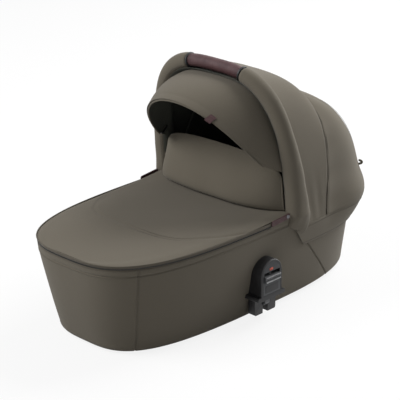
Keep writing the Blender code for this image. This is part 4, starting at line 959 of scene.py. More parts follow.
def mirrored(points: Array, side: int) -> Array:
    """The same points on one side of the tub.

    Args:
        points: points of the right side (..., 3).
        side: 1 for the right side, -1 for the left.

    Returns:
        The points of that side.
    """
    moved = np.array(points, float)
    moved[..., 0] *= side
    return moved


# Form of the tub

@dataclass(frozen=True)
class Outline:
    """The tub seen from above: a rounded outline with unlike reaches to foot and head."""

    half_width: float = 0.2021
    foot: float = 0.42
    head: float = 0.403
    power: float = 3.12

    def points(self, angle: Array, inset: Array = 0.0) -> tuple[Array, Array, Array, Array]:
        """Points and outward directions: a superellipse, moved in along its normal by inset.

        Args:
            angle: radians from +X towards the head.
            inset: metres moved inwards.

        Returns:
            x, y and the unit normal's two parts.
        """
        c, s = np.cos(angle), np.sin(angle)
        p = 2 / self.power
        reach = np.where(s < 0, self.foot, self.head)
        x = self.half_width * np.sign(c) * np.abs(c) ** p
        y = reach * np.sign(s) * np.abs(s) ** p
        nx = np.sign(c) * np.abs(c) ** (2 - p) / self.half_width
        ny = np.sign(s) * np.abs(s) ** (2 - p) / reach
        size = np.hypot(nx, ny)
        nx, ny = nx / size, ny / size
        return x - inset * nx, y - inset * ny, nx, ny

    def angle_at(self, y: float) -> float:
        """The angle on the +X side at which the outline reaches y, below zero towards the foot."""
        reach = self.foot if y < 0 else self.head
        return copysign(asin(min(1.0, abs(y) / reach) ** (self.power / 2)), y)

    def half_at(self, y: Array) -> Array:
        """Half-width of the outline at y."""
        share = held(np.abs(y) / np.where(np.asarray(y) < 0, self.foot, self.head))
        return self.half_width * (1 - share ** self.power) ** (1 / self.power)


@dataclass(frozen=True)
class TubForm:
    """The tub's wall as the CAD has it, as a surface over angle and height."""

    rim: Outline = Outline()
    sill: Outline = Outline(0.1708, 0.3742, 0.3999)
    rim_height: float = 0.2236
    sill_height: float = 0.022
    floor: float = 0.0035
    floor_inset: float = 0.019
    swell: float = 0.0022

    def wall(self, angle: Array, height: Array, inset: Array = 0.0) -> Array:
        """Points of the wall, with a slight swell between sill and rim and a quarter round under the sill.

        Args:
            angle: radians, same shape as height.
            height: metres.
            inset: metres moved in along the outline's normal.

        Returns:
            Points (..., 3) in the row frame.
        """
        angle, height = np.broadcast_arrays(angle, height)
        share = np.clip((height - self.sill_height) / (self.rim_height - self.sill_height), 0, None)
        turn = held((height - self.floor) / (self.sill_height - self.floor))
        under = self.floor_inset * (1 - np.sqrt(np.maximum(0, 1 - (1 - turn) ** 2)))
        low = np.stack(self.sill.points(angle)[:2], -1)
        high = np.stack(self.rim.points(angle)[:2], -1)
        flat = low + (high - low) * share[..., None]
        out = self.swell * np.sin(np.pi * held(share)) - under - inset
        flat = flat + np.stack(self.rim.points(angle)[2:], -1) * np.asarray(out)[..., None]
        return np.concatenate([flat + [0.0, SHIFT_Y], height[..., None]], -1)


TUB = TubForm()
RIM = TUB.rim
COVER_TOP = 0.2116


def cut_of(grid: Array) -> dict[str, object]:
    """The flat cloth that a grid was cut from: its longest row by its longest column, and its cells' area.

    Args:
        grid: the sheet's outer surface as rows of points.

    Returns:
        The "flat" size in metres and the "area" in square metres.
    """
    long, wide = way_along(grid).max(), way_along(grid.swapaxes(0, 1)).max()
    first = grid[:-1, 1:] - grid[:-1, :-1]
    second = grid[1:, :-1] - grid[:-1, :-1]
    area = np.linalg.norm(np.cross(first, second), axis=2).sum()
    return {"flat": (float(long), float(wide)), "area": float(area)}


def groove(distance: Array, width: float, depth: float) -> Array:
    """A bell curve over the distance from a line: the dip of a seam, or a swell."""
    return depth * np.exp(-(distance / width) ** 2)


def distance_to(points: Array, path: Array) -> Array:
    """Least distance from each point to a densely drawn path.

    Args:
        points: places (..., 2 or 3).
        path: the path's points, with as many parts each.

    Returns:
        One distance for each place.
    """
    flat = points.reshape(-1, points.shape[-1])
    best = np.full(len(flat), np.inf)
    block = 8000
    for start in range(0, len(flat), block):
        part = flat[start:start + block]
        best[start:start + block] = np.sqrt(((part[:, None] - path[None]) ** 2).sum(-1)).min(1)
    return best.reshape(points.shape[:-1])


def ripple(place: Array, waves: Sequence[Spot]) -> Array:
    """A quiet unevenness of stretched cloth: a sum of sine waves.

    Args:
        place: points (..., 3).
        waves: size and turns per metre along x, y and z of each.

    Returns:
        The inward shift of each point.
    """
    total = np.zeros(place.shape[:-1])
    for k, (size, a, b, c) in enumerate(waves):
        total += size * np.sin(place[..., 0] * a + place[..., 1] * b + place[..., 2] * c + 1.7 * k)
    return total


SLACK = ((0.00045, 21.0, 9.0, 24.0), (0.00035, -13.0, 17.0, 41.0), (0.00025, 37.0, -29.0, 18.0))


# Outer cover

class Panel(Enum):
    """The four sewn panels of the cover."""

    FOOT = "foot"
    RIGHT = "right"
    LEFT = "left"
    HEAD = "head"


@dataclass
class Cover:
    """The cover's four panels with their felled seams and the hem under the base."""

    palette: Palette
    foot_seam_y: float = -0.352
    foot_seam_turn: float = -0.115
    rim_seam: float = 0.203
    rim_seam_fall: float = 0.005
    head_seam_top_y: float = 0.062
    head_seam_bottom_y: float = 0.262
    top: float = COVER_TOP
    hem: float = 0.02
    strap_rise: float = 0.0085
    thickness: float = 0.0018
    wall_top: float = 0.19
    thread_off: float = 0.0036
    seam_width: float = 0.0018
    seam_depth: float = 0.0022
    rim_seam_width: float = 0.0016
    strap_from: float = 0.004
    strap_to: float = 0.092

    def seam_angle(self, which: str, height: Array) -> Array:
        """The angle of a seam on the +X side at each height.

        Args:
            which: "foot" or "head".
            height: metres.

        Returns:
            Angles.
        """
        if which == "foot":
            fall = held((TUB.rim_height - height) / TUB.rim_height)
            return RIM.angle_at(self.foot_seam_y) + self.foot_seam_turn * fall
        share = held((height - TUB.floor) / (TUB.rim_height - TUB.floor))
        y = self.head_seam_bottom_y + (self.head_seam_top_y - self.head_seam_bottom_y) * share
        reach = TUB.sill.head + (RIM.head - TUB.sill.head) * share
        return np.arcsin(np.minimum(1, y / reach) ** (RIM.power / 2))

    def rim_seam_at(self, y: Array) -> Array:
        """Height of the seam under the rim, a little lower towards the foot."""
        return self.rim_seam - self.rim_seam_fall * held(-y / RIM.foot) ** 2

    def panel(self, which: Panel) -> None:
        """One panel: the wall between two seams, drawn in a little at each seam and at its top edge.

        Args:
            which: the panel.
        """
        columns = {Panel.FOOT: 90, Panel.HEAD: 130}.get(which, 120)
        curve = TUB.floor + (TUB.sill_height - TUB.floor) * (1 - np.cos(np.linspace(0, np.pi / 2, 9)))
        height = np.concatenate([curve, np.linspace(TUB.sill_height, self.wall_top, 26)[1:],
                                 np.linspace(self.wall_top, self.top, 17)[1:]])
        foot, head = self.seam_angle("foot", height), self.seam_angle("head", height)
        ends = {Panel.FOOT: (-pi - foot, foot), Panel.HEAD: (head, pi - head)}.get(which, (foot, head))
        even = np.linspace(0, 1, columns)
        share = (0.35 * even + 0.65 * (0.5 - 0.5 * np.cos(pi * even)))[None, :]
        angle = ends[0][:, None] + (ends[1] - ends[0])[:, None] * share
        tall = np.broadcast_to(height[:, None], angle.shape)
        flat = TUB.wall(angle, tall)
        way = way_along(flat)
        seam = np.minimum(way, way[:, -1:] - way)
        inset = groove(seam, self.seam_width, self.seam_depth) + groove(self.top - tall, 0.004, 0.0006)
        inset = inset + ripple(flat, SLACK)
        inset = inset + groove(tall - self.rim_seam_at(flat[..., 1]), self.rim_seam_width, self.rim_seam_width)
        y = flat[..., 1] - SHIFT_Y
        by_strap = (1 + np.tanh((y - self.strap_from) / 0.005)) * (1 - np.tanh((y - self.strap_to) / 0.01)) / 4
        late = held((tall - self.wall_top) / (self.top - self.wall_top)) ** 3
        grid = TUB.wall(angle, tall + self.strap_rise * by_strap * late, inset)
        middle = grid[:1].mean(axis=1, keepdims=True) * [0.0, 1.0, 0.0]
        grid = np.concatenate([grid[:1] + unit((middle - grid[:1]) * [1.0, 1.0, 0.0]) * self.hem, grid])
        if which is Panel.LEFT:
            grid = mirrored(grid, -1)[:, ::-1]
        piece = cloth_piece(f"sewn_cover_{which.value}", grid, self.thickness, self.palette.canvas, self.palette.lining)
        dress(piece, "tub", "canvas", f"cover_{which.value}")
        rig.sheet(piece, **cut_of(grid), held="stretched", rests_on=["wall_board", "base_tray"])

    def seam_lines(self) -> None:
        """A row of thread beside each of the four seams, and one under the rim."""
        height = np.linspace(TUB.floor + 0.004, self.top - 0.001, 90)
        step = 1e-4
        for which in ("foot", "head"):
            base = self.seam_angle(which, height)
            speed = np.linalg.norm(TUB.wall(base + step, height) - TUB.wall(base, height), axis=1) / step
            angle = base + self.thread_off / np.maximum(speed, 1e-3)
            path = TUB.wall(angle, height, ripple(TUB.wall(angle, height), SLACK) - 0.0003)
            up = np.stack(RIM.points(base)[2:] + (np.full_like(base, -0.12),), 1)
            for name, side in SIDES.items():
                run = stitches(f"{which}_seam_thread_{name}_1", mirrored(path, side), mirrored(up, side),
                               self.palette.thread)
                dress(run, "tub", "canvas")
        angle = np.linspace(-pi - 0.3, 0.3, 700)
        tall = self.rim_seam_at(RIM.points(angle)[1]) - 0.0032
        path = TUB.wall(angle, tall, ripple(TUB.wall(angle, tall), SLACK) - 0.0003)
        out = np.stack(RIM.points(angle)[2:] + (np.zeros_like(angle),), 1)
        dress(stitches("rim_seam_thread", evenly(path, 700), out, self.palette.thread), "tub", "canvas")

    def build(self) -> None:
        """Builds the panels and their threads."""
        for which in Panel:
            self.panel(which)
        self.seam_lines()


# Apron, zip and piping

@dataclass
class Apron:
    """The padded cover over the legs, its curved seam, the zip round it and two runs of piping."""

    palette: Palette
    edge: float = 0.0046
    crown: float = 0.014
    head_y: float = 0.04
    corner_back: float = 0.031
    corner_up: float = 0.008
    thickness: float = 0.005
    band_end_y: float = 0.004
    seam_width: float = 0.0026
    seam_depth: float = 0.001
    thread_off: float = 0.0048
    seam_half: tuple[tuple[float, float], ...] = (
        (0.0, -0.2365), (0.054, -0.235), (0.089, -0.232), (0.122, -0.22), (0.144, -0.198), (0.157, -0.174),
        (0.1775, -0.139), (0.1905, -0.098), (0.196, -0.07))

    def seam(self) -> Array:
        """The curved seam over the apron, from one edge to the other.

        Returns:
            Points seen from above (count, 2), in the row frame.
        """
        half = np.array(self.seam_half)
        both = np.concatenate([half[::-1] * [-1, 1], half[1:]])
        way = way_along(both)
        wanted = np.linspace(0, way[-1], 420)
        x, y = np.interp(wanted, way, both[:, 0]), np.interp(wanted, way, both[:, 1])
        kernel = np.hanning(41) / np.hanning(41).sum()
        soft = np.stack([np.convolve(np.pad(v, 20, mode="edge"), kernel, "valid") for v in (x, y)], 1)
        return soft + [0.0, SHIFT_Y]

    def height(self, x: Array, y: Array) -> Array:
        """Height of the apron: a flat-topped dome over the rim, lower at the foot, dipped along the seam.

        Args:
            x: metres.
            y: metres in the tub's own frame.

        Returns:
            Heights.
        """
        half = np.maximum(RIM.half_at(np.clip(y, -0.4155, 0.3)) - self.edge, 1e-4)
        share = held(np.abs(x) / half)
        lift = 1 - held(-y / (RIM.foot - self.edge)) ** 4
        return TUB.rim_height + self.crown * (1 - share ** 4) * lift

    def panel(self) -> None:
        """The apron's sheet with its seam and a rolled head edge."""
        rows, columns = 190, 150
        foot = RIM.foot - self.edge
        lean = np.linspace(0, pi / 2, rows)
        y = -foot + 0.0012 + (self.head_y + foot - 0.0012) * (1 - np.cos(lean))
        across = np.sin(np.linspace(-pi / 2, pi / 2, columns))
        half = RIM.half_at(y) - self.edge
        x = half[:, None] * across[None, :]
        late = held((y + 0.06) / (self.head_y + 0.06)) ** 2
        yy = y[:, None] + self.corner_back * late[:, None] * np.abs(across[None, :]) ** 5
        z = self.height(x, yy)
        flat = np.stack([x, yy + SHIFT_Y, z], -1)
        off = distance_to(flat[..., :2], self.seam())
        dip, beside = groove(off, self.seam_width, self.seam_depth), groove(off - 0.009, 0.006, 0.0003)
        rim = RIM.half_at(yy) - self.edge - np.abs(x)
        puff = groove(rim - 0.012, 0.012, 0.001)
        flat[..., 2] += beside + puff - dip + ripple(flat, SLACK) * 1.1
        flat[..., 2] += self.corner_up * late[:, None] * np.abs(across[None, :]) ** 4
        piece = cloth_piece("sewn_apron", flat, self.thickness * 0.9, self.palette.canvas, self.palette.lining)
        dress(piece, "tub", "canvas", "apron_panel")
        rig.sheet(piece, **cut_of(flat), held="stretched", rests_on=["zip_band"])

    def seam_threads(self) -> None:
        """A row of thread on each side of the curved seam."""
        line = self.seam()
        ahead = unit(np.gradient(line, axis=0))
        side = np.stack([-ahead[:, 1], ahead[:, 0]], 1)
        for row, offset in enumerate((-self.thread_off, self.thread_off)):
            place = line + side * offset
            z = self.height(place[:, 0], place[:, 1] - SHIFT_Y) + 0.0002
            path = np.column_stack([place, z])
            keep = np.abs(place[:, 0]) < RIM.half_at(place[:, 1] - SHIFT_Y) - self.edge - 0.002
            run = stitches(f"apron_thread_{row + 1}", path[keep], np.tile([0.0, 0.0, 1.0], (int(keep.sum()), 1)),
                           self.palette.thread)
            dress(run, "tub", "canvas")

    def band(self) -> None:
        """The zip band with its coil, and the piping above and below it."""
        start = RIM.angle_at(self.band_end_y)
        angle = np.linspace(start, -pi - start, 260)
        low, high = COVER_TOP + 0.0002, TUB.rim_height - 0.0012
        height = np.linspace(low, high, 8)
        grid = TUB.wall(angle[None, :], height[:, None], 0.001 + 0.0006 * np.cos(
            np.linspace(-pi, pi, 8))[:, None] * np.ones((1, 260)))
        grid = grid[:, ::-1]
        piece = cloth_piece("zip_tape", grid, 0.0016, self.palette.trim)
        dress(piece, "tub", "canvas", "zip_band")
        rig.sheet(piece, **cut_of(grid), held="stretched", rests_on=["rim_frame"])
        for name, z, radius in (("lower", COVER_TOP + 0.0014, 0.0017), ("upper", TUB.rim_height, 0.0018)):
            path = TUB.wall(angle, np.full_like(angle, z), np.full_like(angle, 0.0016))
            cord = pipe(f"sewn_piping_{name}", evenly(path, 360), radius - 0.0003, self.palette.trim, 10)
            dress(cord, "tub", "canvas", f"piping_{name}")
        coil = TUB.wall(angle, np.full_like(angle, (low + high) / 2), np.full_like(angle, 0.0012))
        normal = np.stack(RIM.points(angle)[2:] + (np.zeros_like(angle),), 1)
        teeth = stitches("zip_coil", coil, normal, self.palette.dark, 0.0011, 0.0009, 0.0034, 0.0007)
        dress(teeth, "tub", "dark_plastic")

    def build(self) -> None:
        """Builds the apron and its trim."""
        self.panel()
        self.seam_threads()
        self.band()


# Hood

@dataclass(frozen=True)
class BowLine:
    """The carry bow's middle line: a superellipse arch in a plane that leans towards the foot."""

    half_width: float = 0.2005
    foot_y: float = 0.0973
    foot_z: float = 0.2017
    top_y: float = 0.0415
    top_z: float = 0.536
    power: float = 3.16

    def y_at(self, z: Array) -> Array:
        """Where the bow's plane stands at a height, in the row frame."""
        share = (z - self.foot_z) / (self.top_z - self.foot_z)
        return self.foot_y + (self.top_y - self.foot_y) * share + SHIFT_Y

    def arc(self, low: float, fine: int = 1600) -> Array:
        """The arch from +X to -X above a height: height share and width share on a unit superellipse.

        Args:
            low: lowest height.
            fine: points.

        Returns:
            Points (fine, 3).
        """
        share = held((low - self.foot_z) / (self.top_z - self.foot_z))
        first = asin(share ** (self.power / 2))
        a = np.linspace(first, pi - first, fine)
        x = self.half_width * np.sign(np.cos(a)) * np.abs(np.cos(a)) ** (2 / self.power)
        z = self.foot_z + (self.top_z - self.foot_z) * np.abs(np.sin(a)) ** (2 / self.power)
        return np.stack([x, self.y_at(z), z], 1)


BOW = BowLine()
PIVOT = np.array([0.0, BOW.y_at(0.242), 0.242])


@dataclass
class Hood:
    """The hood's fabric: front panel between the bows, rear dome, skirt band, seams and pull loops."""

    palette: Palette
    seam_y: float = 0.199
    foot: float = 0.19
    mid_top: float = 0.4515
    power: float = 4.1
    rear_power: float = 1.78
    side_outset: float = 0.003
    rear_outset: float = 0.018
    flare: float = 0.014
    flare_height: float = 0.204
    tuck: float = 0.1
    flare_spread: float = 0.04
    flare_start: float = 0.205
    flare_full: float = 0.34
    cap: float = 0.0285
    behind_bow: float = 0.0165
    crown: float = 0.027
    crown_rise: float = 1.7
    crown_fall: float = 0.45
    crown_side: float = 5.0
    skirt_front: float = 0.128
    skirt_lean: float = 0.044
    skirt_height: float = 0.055
    skirt_fall: float = 0.013
    skirt_belly: float = 0.0045
    cloth: float = 0.0022
    corner_y: float = 0.352
    seam_bend: float = 0.19
    thread_off: float = 0.0055
    loop_z: float = 0.2645
    seam_width: float = 0.0028
    seam_depth: float = 0.0013

    def outset(self, height: Array, y: Array) -> Array:
        """How far the rear fabric stands out of the rim: a smooth rise towards the head and a bell at its foot.

        Args:
            height: metres.
            y: metres in the tub's own frame.

        Returns:
            Distances from the rim's outline.
        """
        share = smooth((y - self.flare_start) / (self.flare_full - self.flare_start))
        bell = groove(height - self.flare_height, self.flare_spread, self.flare)
        bell = bell * (1 - groove(height - self.foot, 0.006, self.tuck))
        return self.side_outset + (self.rear_outset - self.side_outset + bell) * share

    def rear(self, share: Array, angle: Array, inward: Array = 0.0) -> Array:
        """The rear dome: the rim's outline drawn together along a superellipse as it rises.

        Args:
            share: 0 at the foot, 1 at the top.
            angle: on the rim's outline.
            inward: metres moved in.

        Returns:
            Points (..., 3).
        """
        share, angle, inward = np.broadcast_arrays(share, angle, np.asarray(inward, float))
        lift = np.sin(share * np.pi / 2) ** (2 / self.power)
        narrow = np.cos(share * np.pi / 2) ** (2 / self.power)
        shorten = np.sqrt(np.maximum(0, 1 - np.minimum(1, lift) ** self.rear_power))
        x, y, nx, ny = RIM.points(angle)
        z = self.foot + (self.mid_top - self.foot - inward * lift) * lift
        out = self.outset(z, y) - inward
        px = x * narrow + nx * out * narrow
        py = self.seam_y + (y - self.seam_y) * shorten + ny * out * shorten
        return np.stack([px, py + SHIFT_Y, z], -1)

    def front(self, share: Array, u: Array, outward: Array = 0.0) -> Array:
        """The front panel: straight lines from behind the carry bow to the mid seam, with a slight belly.

        The two arches are superellipses of the same angle, and near the joint the cloth keeps off its cap.

        Args:
            share: 0 behind the bow, 1 at the seam.
            u: 1 at the right foot, -1 at the left foot.
            outward: metres moved out, square to the X-Z outline.

        Returns:
            Points (..., 3).
        """
        share, u, outward = np.broadcast_arrays(share, u, np.asarray(outward, float))
        around = (1 - np.abs(u)) * np.pi / 2
        narrow, lift = np.cos(around), np.sin(around)
        side = np.where(u < 0, -1.0, 1.0)
        bow_x = BOW.half_width * narrow ** (2 / BOW.power)
        bow_z = self.foot + (BOW.top_z - self.foot) * lift ** (2 / BOW.power)
        bow_y = BOW.y_at(bow_z) + self.behind_bow
        seam_half = RIM.points(np.array(RIM.angle_at(self.seam_y)))[0]
        seam_x = seam_half * narrow ** (2 / self.power)
        seam_z = self.foot + (self.mid_top - self.foot) * lift ** (2 / self.power)
        x = bow_x + (seam_x - bow_x) * share
        y = bow_y + (self.seam_y - 0.0002 + SHIFT_Y - bow_y) * share
        z = bow_z + (seam_z - bow_z) * share
        away = unit(np.stack([x, z - TUB.rim_height], -1))
        peak = self.crown_rise / (self.crown_rise + self.crown_fall)
        swell = (share / peak) ** self.crown_rise * ((1 - share) / (1 - peak)) ** self.crown_fall
        out = outward + self.side_outset + self.crown * swell * lift ** self.crown_side
        x = x + away[..., 0] * out
        z = np.maximum(z + away[..., 1] * out, self.foot)
        rise = np.abs(z - PIVOT[2])
        keep = PIVOT[1] + np.sqrt(np.maximum(self.cap ** 2 - rise ** 2, 0)) * (rise < self.cap)
        y = np.where(rise < self.cap, np.maximum(y, keep), y)
        return np.stack([side * x, y, z], -1)

    def rear_panel(self) -> None:
        """The rear dome with its tucked seam edge, a seam down each rear corner and quiet slack."""
        start = RIM.angle_at(self.seam_y)
        angle = np.linspace(start, pi - start, 190)[None, :]
        low = np.arcsin(np.linspace(0, 0.46, 34) ** (self.power / 2)) / (pi / 2)
        share = np.concatenate([low, np.linspace(low[-1], 0.93, 66)[1:], np.linspace(0.93, 0.9965, 17)[1:]])[:, None]
        flat = self.rear(share, angle)
        seam = np.abs(flat[..., 1] - SHIFT_Y - self.seam_y)
        corner = RIM.angle_at(self.corner_y)
        near = np.minimum(np.abs(angle - corner), np.abs(angle - (pi - corner))) * self.seam_bend
        dip = groove(seam, self.seam_width, self.seam_depth) + groove(near + 0 * share, 0.0024, self.seam_depth)
        hang = 0.003 * np.sin(np.pi * held(share * 1.1)) * groove(flat[..., 1] - 0.26, 0.06, 1)
        pull = 0.0011 * np.sin(flat[..., 2] * 95 + flat[..., 0] * 30) * np.exp(-(seam / 0.05))
        grid = self.rear(share, angle, dip + hang * 0.5 + ripple(flat, SLACK) * 1.6 + pull)
        grid[..., 1] = np.maximum(grid[..., 1], self.seam_y + SHIFT_Y + 0.0002)
        piece = cloth_piece("hood_rear_cloth", grid, self.cloth, self.palette.canvas, self.palette.lining)
        dress(piece, None, "canvas", "hood_rear_panel")
        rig.blend(piece, "tub", "mid_bow", start=(0, 0.385, 0.225), end=(0, self.seam_y + SHIFT_Y + 0.012, 0.4))
        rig.sheet(piece, **cut_of(grid), held="stretched", rests_on=["mid_bow"])

    def front_panel(self) -> None:
        """The panel between the bows, with pull lines that run down to the joints."""
        share = np.sin(np.linspace(0, pi / 2, 80))[:, None]
        u = np.sin(np.linspace(1, -1, 200) * pi / 2)[None, :]
        flat = self.front(share, u)
        low = groove(flat[..., 2] - 0.235, 0.055, 1)
        pull = 0.0005 * low * np.sin(share * 17.0 + flat[..., 2] * 26) * np.sin(np.pi * share)
        dip = groove(np.abs(flat[..., 1] - SHIFT_Y - self.seam_y), self.seam_width, self.seam_depth)
        grid = self.front(share, u, pull - dip + ripple(flat, SLACK) * 1.5)
        piece = cloth_piece("hood_front_cloth", grid[:, ::-1], self.cloth, self.palette.canvas, self.palette.lining)
        dress(piece, None, "canvas", "hood_front_panel")
        seam_y = self.seam_y + SHIFT_Y
        front_y = BOW.y_at(0.235) + self.behind_bow + 0.01
        reach = (seam_y - front_y) / (1 - 0.6736)
        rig.blend(piece, "tub", "carry_bow", start=(0, front_y + reach, 0.3), end=(0, front_y, 0.3))
        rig.sheet(piece, **cut_of(grid), held="stretched", rests_on=["carry_tube", "mid_bow"])

    def threads(self) -> None:
        """Stitches on both sides of the mid seam, and beside the two rear corner seams."""
        start = RIM.angle_at(self.seam_y)
        share = np.linspace(0.01, 0.985, 240)
        for name, side in SIDES.items():
            base = np.full_like(share, start)
            shift = self.rear(share, base + self.thread_off / self.seam_bend)
            path = np.stack([shift[:, 0], self.rear(share, base)[:, 1] + self.thread_off, shift[:, 2]], 1)
            up = path - [0.0, path[0, 1], TUB.rim_height]
            up[:, 1] = 0
            run = stitches(f"hood_rear_thread_{name}_1", mirrored(path, side), mirrored(up, side),
                           self.palette.thread_dark)
            dress(run, "mid_bow", "canvas")
            corner = np.full(120, RIM.angle_at(self.corner_y) + 0.021)
            low = np.linspace(0.01, 0.62, 120)
            path = self.rear(low, corner, 0.0002)
            up = path - [0.0, 0.2, 0.25]
            run = stitches(f"hood_corner_thread_{name}", mirrored(path, side), mirrored(up, side),
                           self.palette.thread_dark)
            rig.slot(run, "canvas")
            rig.blend(run, "tub", "mid_bow", start=(0, 0.385, 0.225), end=(0, self.seam_y + SHIFT_Y + 0.012, 0.4))
        u = np.sin(np.linspace(0.985, -0.985, 420) * pi / 2)
        path = self.front(np.full_like(u, 0.9975), u, 0.0002)
        up = path * [1.0, 0.0, 1.0] - [0.0, 0.0, TUB.rim_height]
        dress(stitches("hood_front_thread", path, up, self.palette.thread_dark), "mid_bow", "canvas")

    def skirt(self) -> None:
        """The band below the hood, flat against the tub at the sides and standing out at the head."""
        share = np.linspace(0, 1, 26)[:, None]
        start = np.array([[RIM.angle_at(self.skirt_front - self.skirt_lean * up)] for up in share[:, 0]])
        angle = start + (pi - 2 * start) * np.linspace(0, 1, 220)[None, :]
        top = self.foot - 0.0003
        x, y, nx, ny = RIM.points(angle)
        back = held((y - self.skirt_front) / (RIM.head - self.skirt_front))
        bottom = self.foot - self.skirt_height - self.skirt_fall * back
        low = TUB.wall(angle, bottom, -0.0031 * np.ones_like(angle))
        out = self.outset(self.foot, y)
        high = np.stack([x + nx * out, y + ny * out + SHIFT_Y, np.full_like(x, top)], -1)
        grid = low + (high - low) * share[..., None]
        belly = self.skirt_belly * back * np.sin(np.pi * share ** 0.7)
        normal = np.stack([nx, ny, 0 * nx], -1)
        tall = top - bottom
        dip = groove((1 - share) * tall, self.seam_width, self.seam_depth)
        dip = dip + groove(share * tall, self.seam_width, 0.001)
        grid = grid - normal * (dip - belly + ripple(grid, SLACK) * 0.8)[..., None]
        piece = cloth_piece("skirt_band", grid, 0.0022, self.palette.canvas, self.palette.lining)
        dress(piece, "tub", "canvas", "hood_skirt")
        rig.sheet(piece, **cut_of(grid), held="stretched", rests_on=["wall_board"])
        for name, part in (("low", 3), ("high", 22)):
            path = grid[part] + normal[part] * 0.0002
            dress(stitches(f"skirt_thread_{name}", path, normal[part], self.palette.thread_dark), "tub", "canvas")

    def loops(self) -> None:
        """The small pull loop on each rear corner seam: a flat tape bent into a half ring."""
        angle = np.array([RIM.angle_at(self.corner_y)])
        lift = (self.loop_z - self.foot) / (self.mid_top - self.foot)
        share = asin(lift ** (self.power / 2)) / (pi / 2)
        base = self.rear(np.array([share]), angle, np.array([-0.0018]))[0]
        nx, ny = RIM.points(angle)[2:]
        turn = np.linspace(-pi / 2, pi / 2, 25)
        out = 0.0078 * np.cos(turn)
        path = base + np.stack([nx[0] * out, ny[0] * out, 0.0044 * np.sin(turn)], 1)
        for name, side in SIDES.items():
            tape = pipe(f"pull_loop_{name}", mirrored(path, side), 0.0028, self.palette.canvas, 12, squash=0.6)
            dress(tape, "tub", "canvas", f"rear_loop_{name}")

    def build(self) -> None:
        """Builds the hood's fabric."""
        self.rear_panel()
        self.front_panel()
        self.threads()
        self.skirt()
        self.loops()


# Carry bow

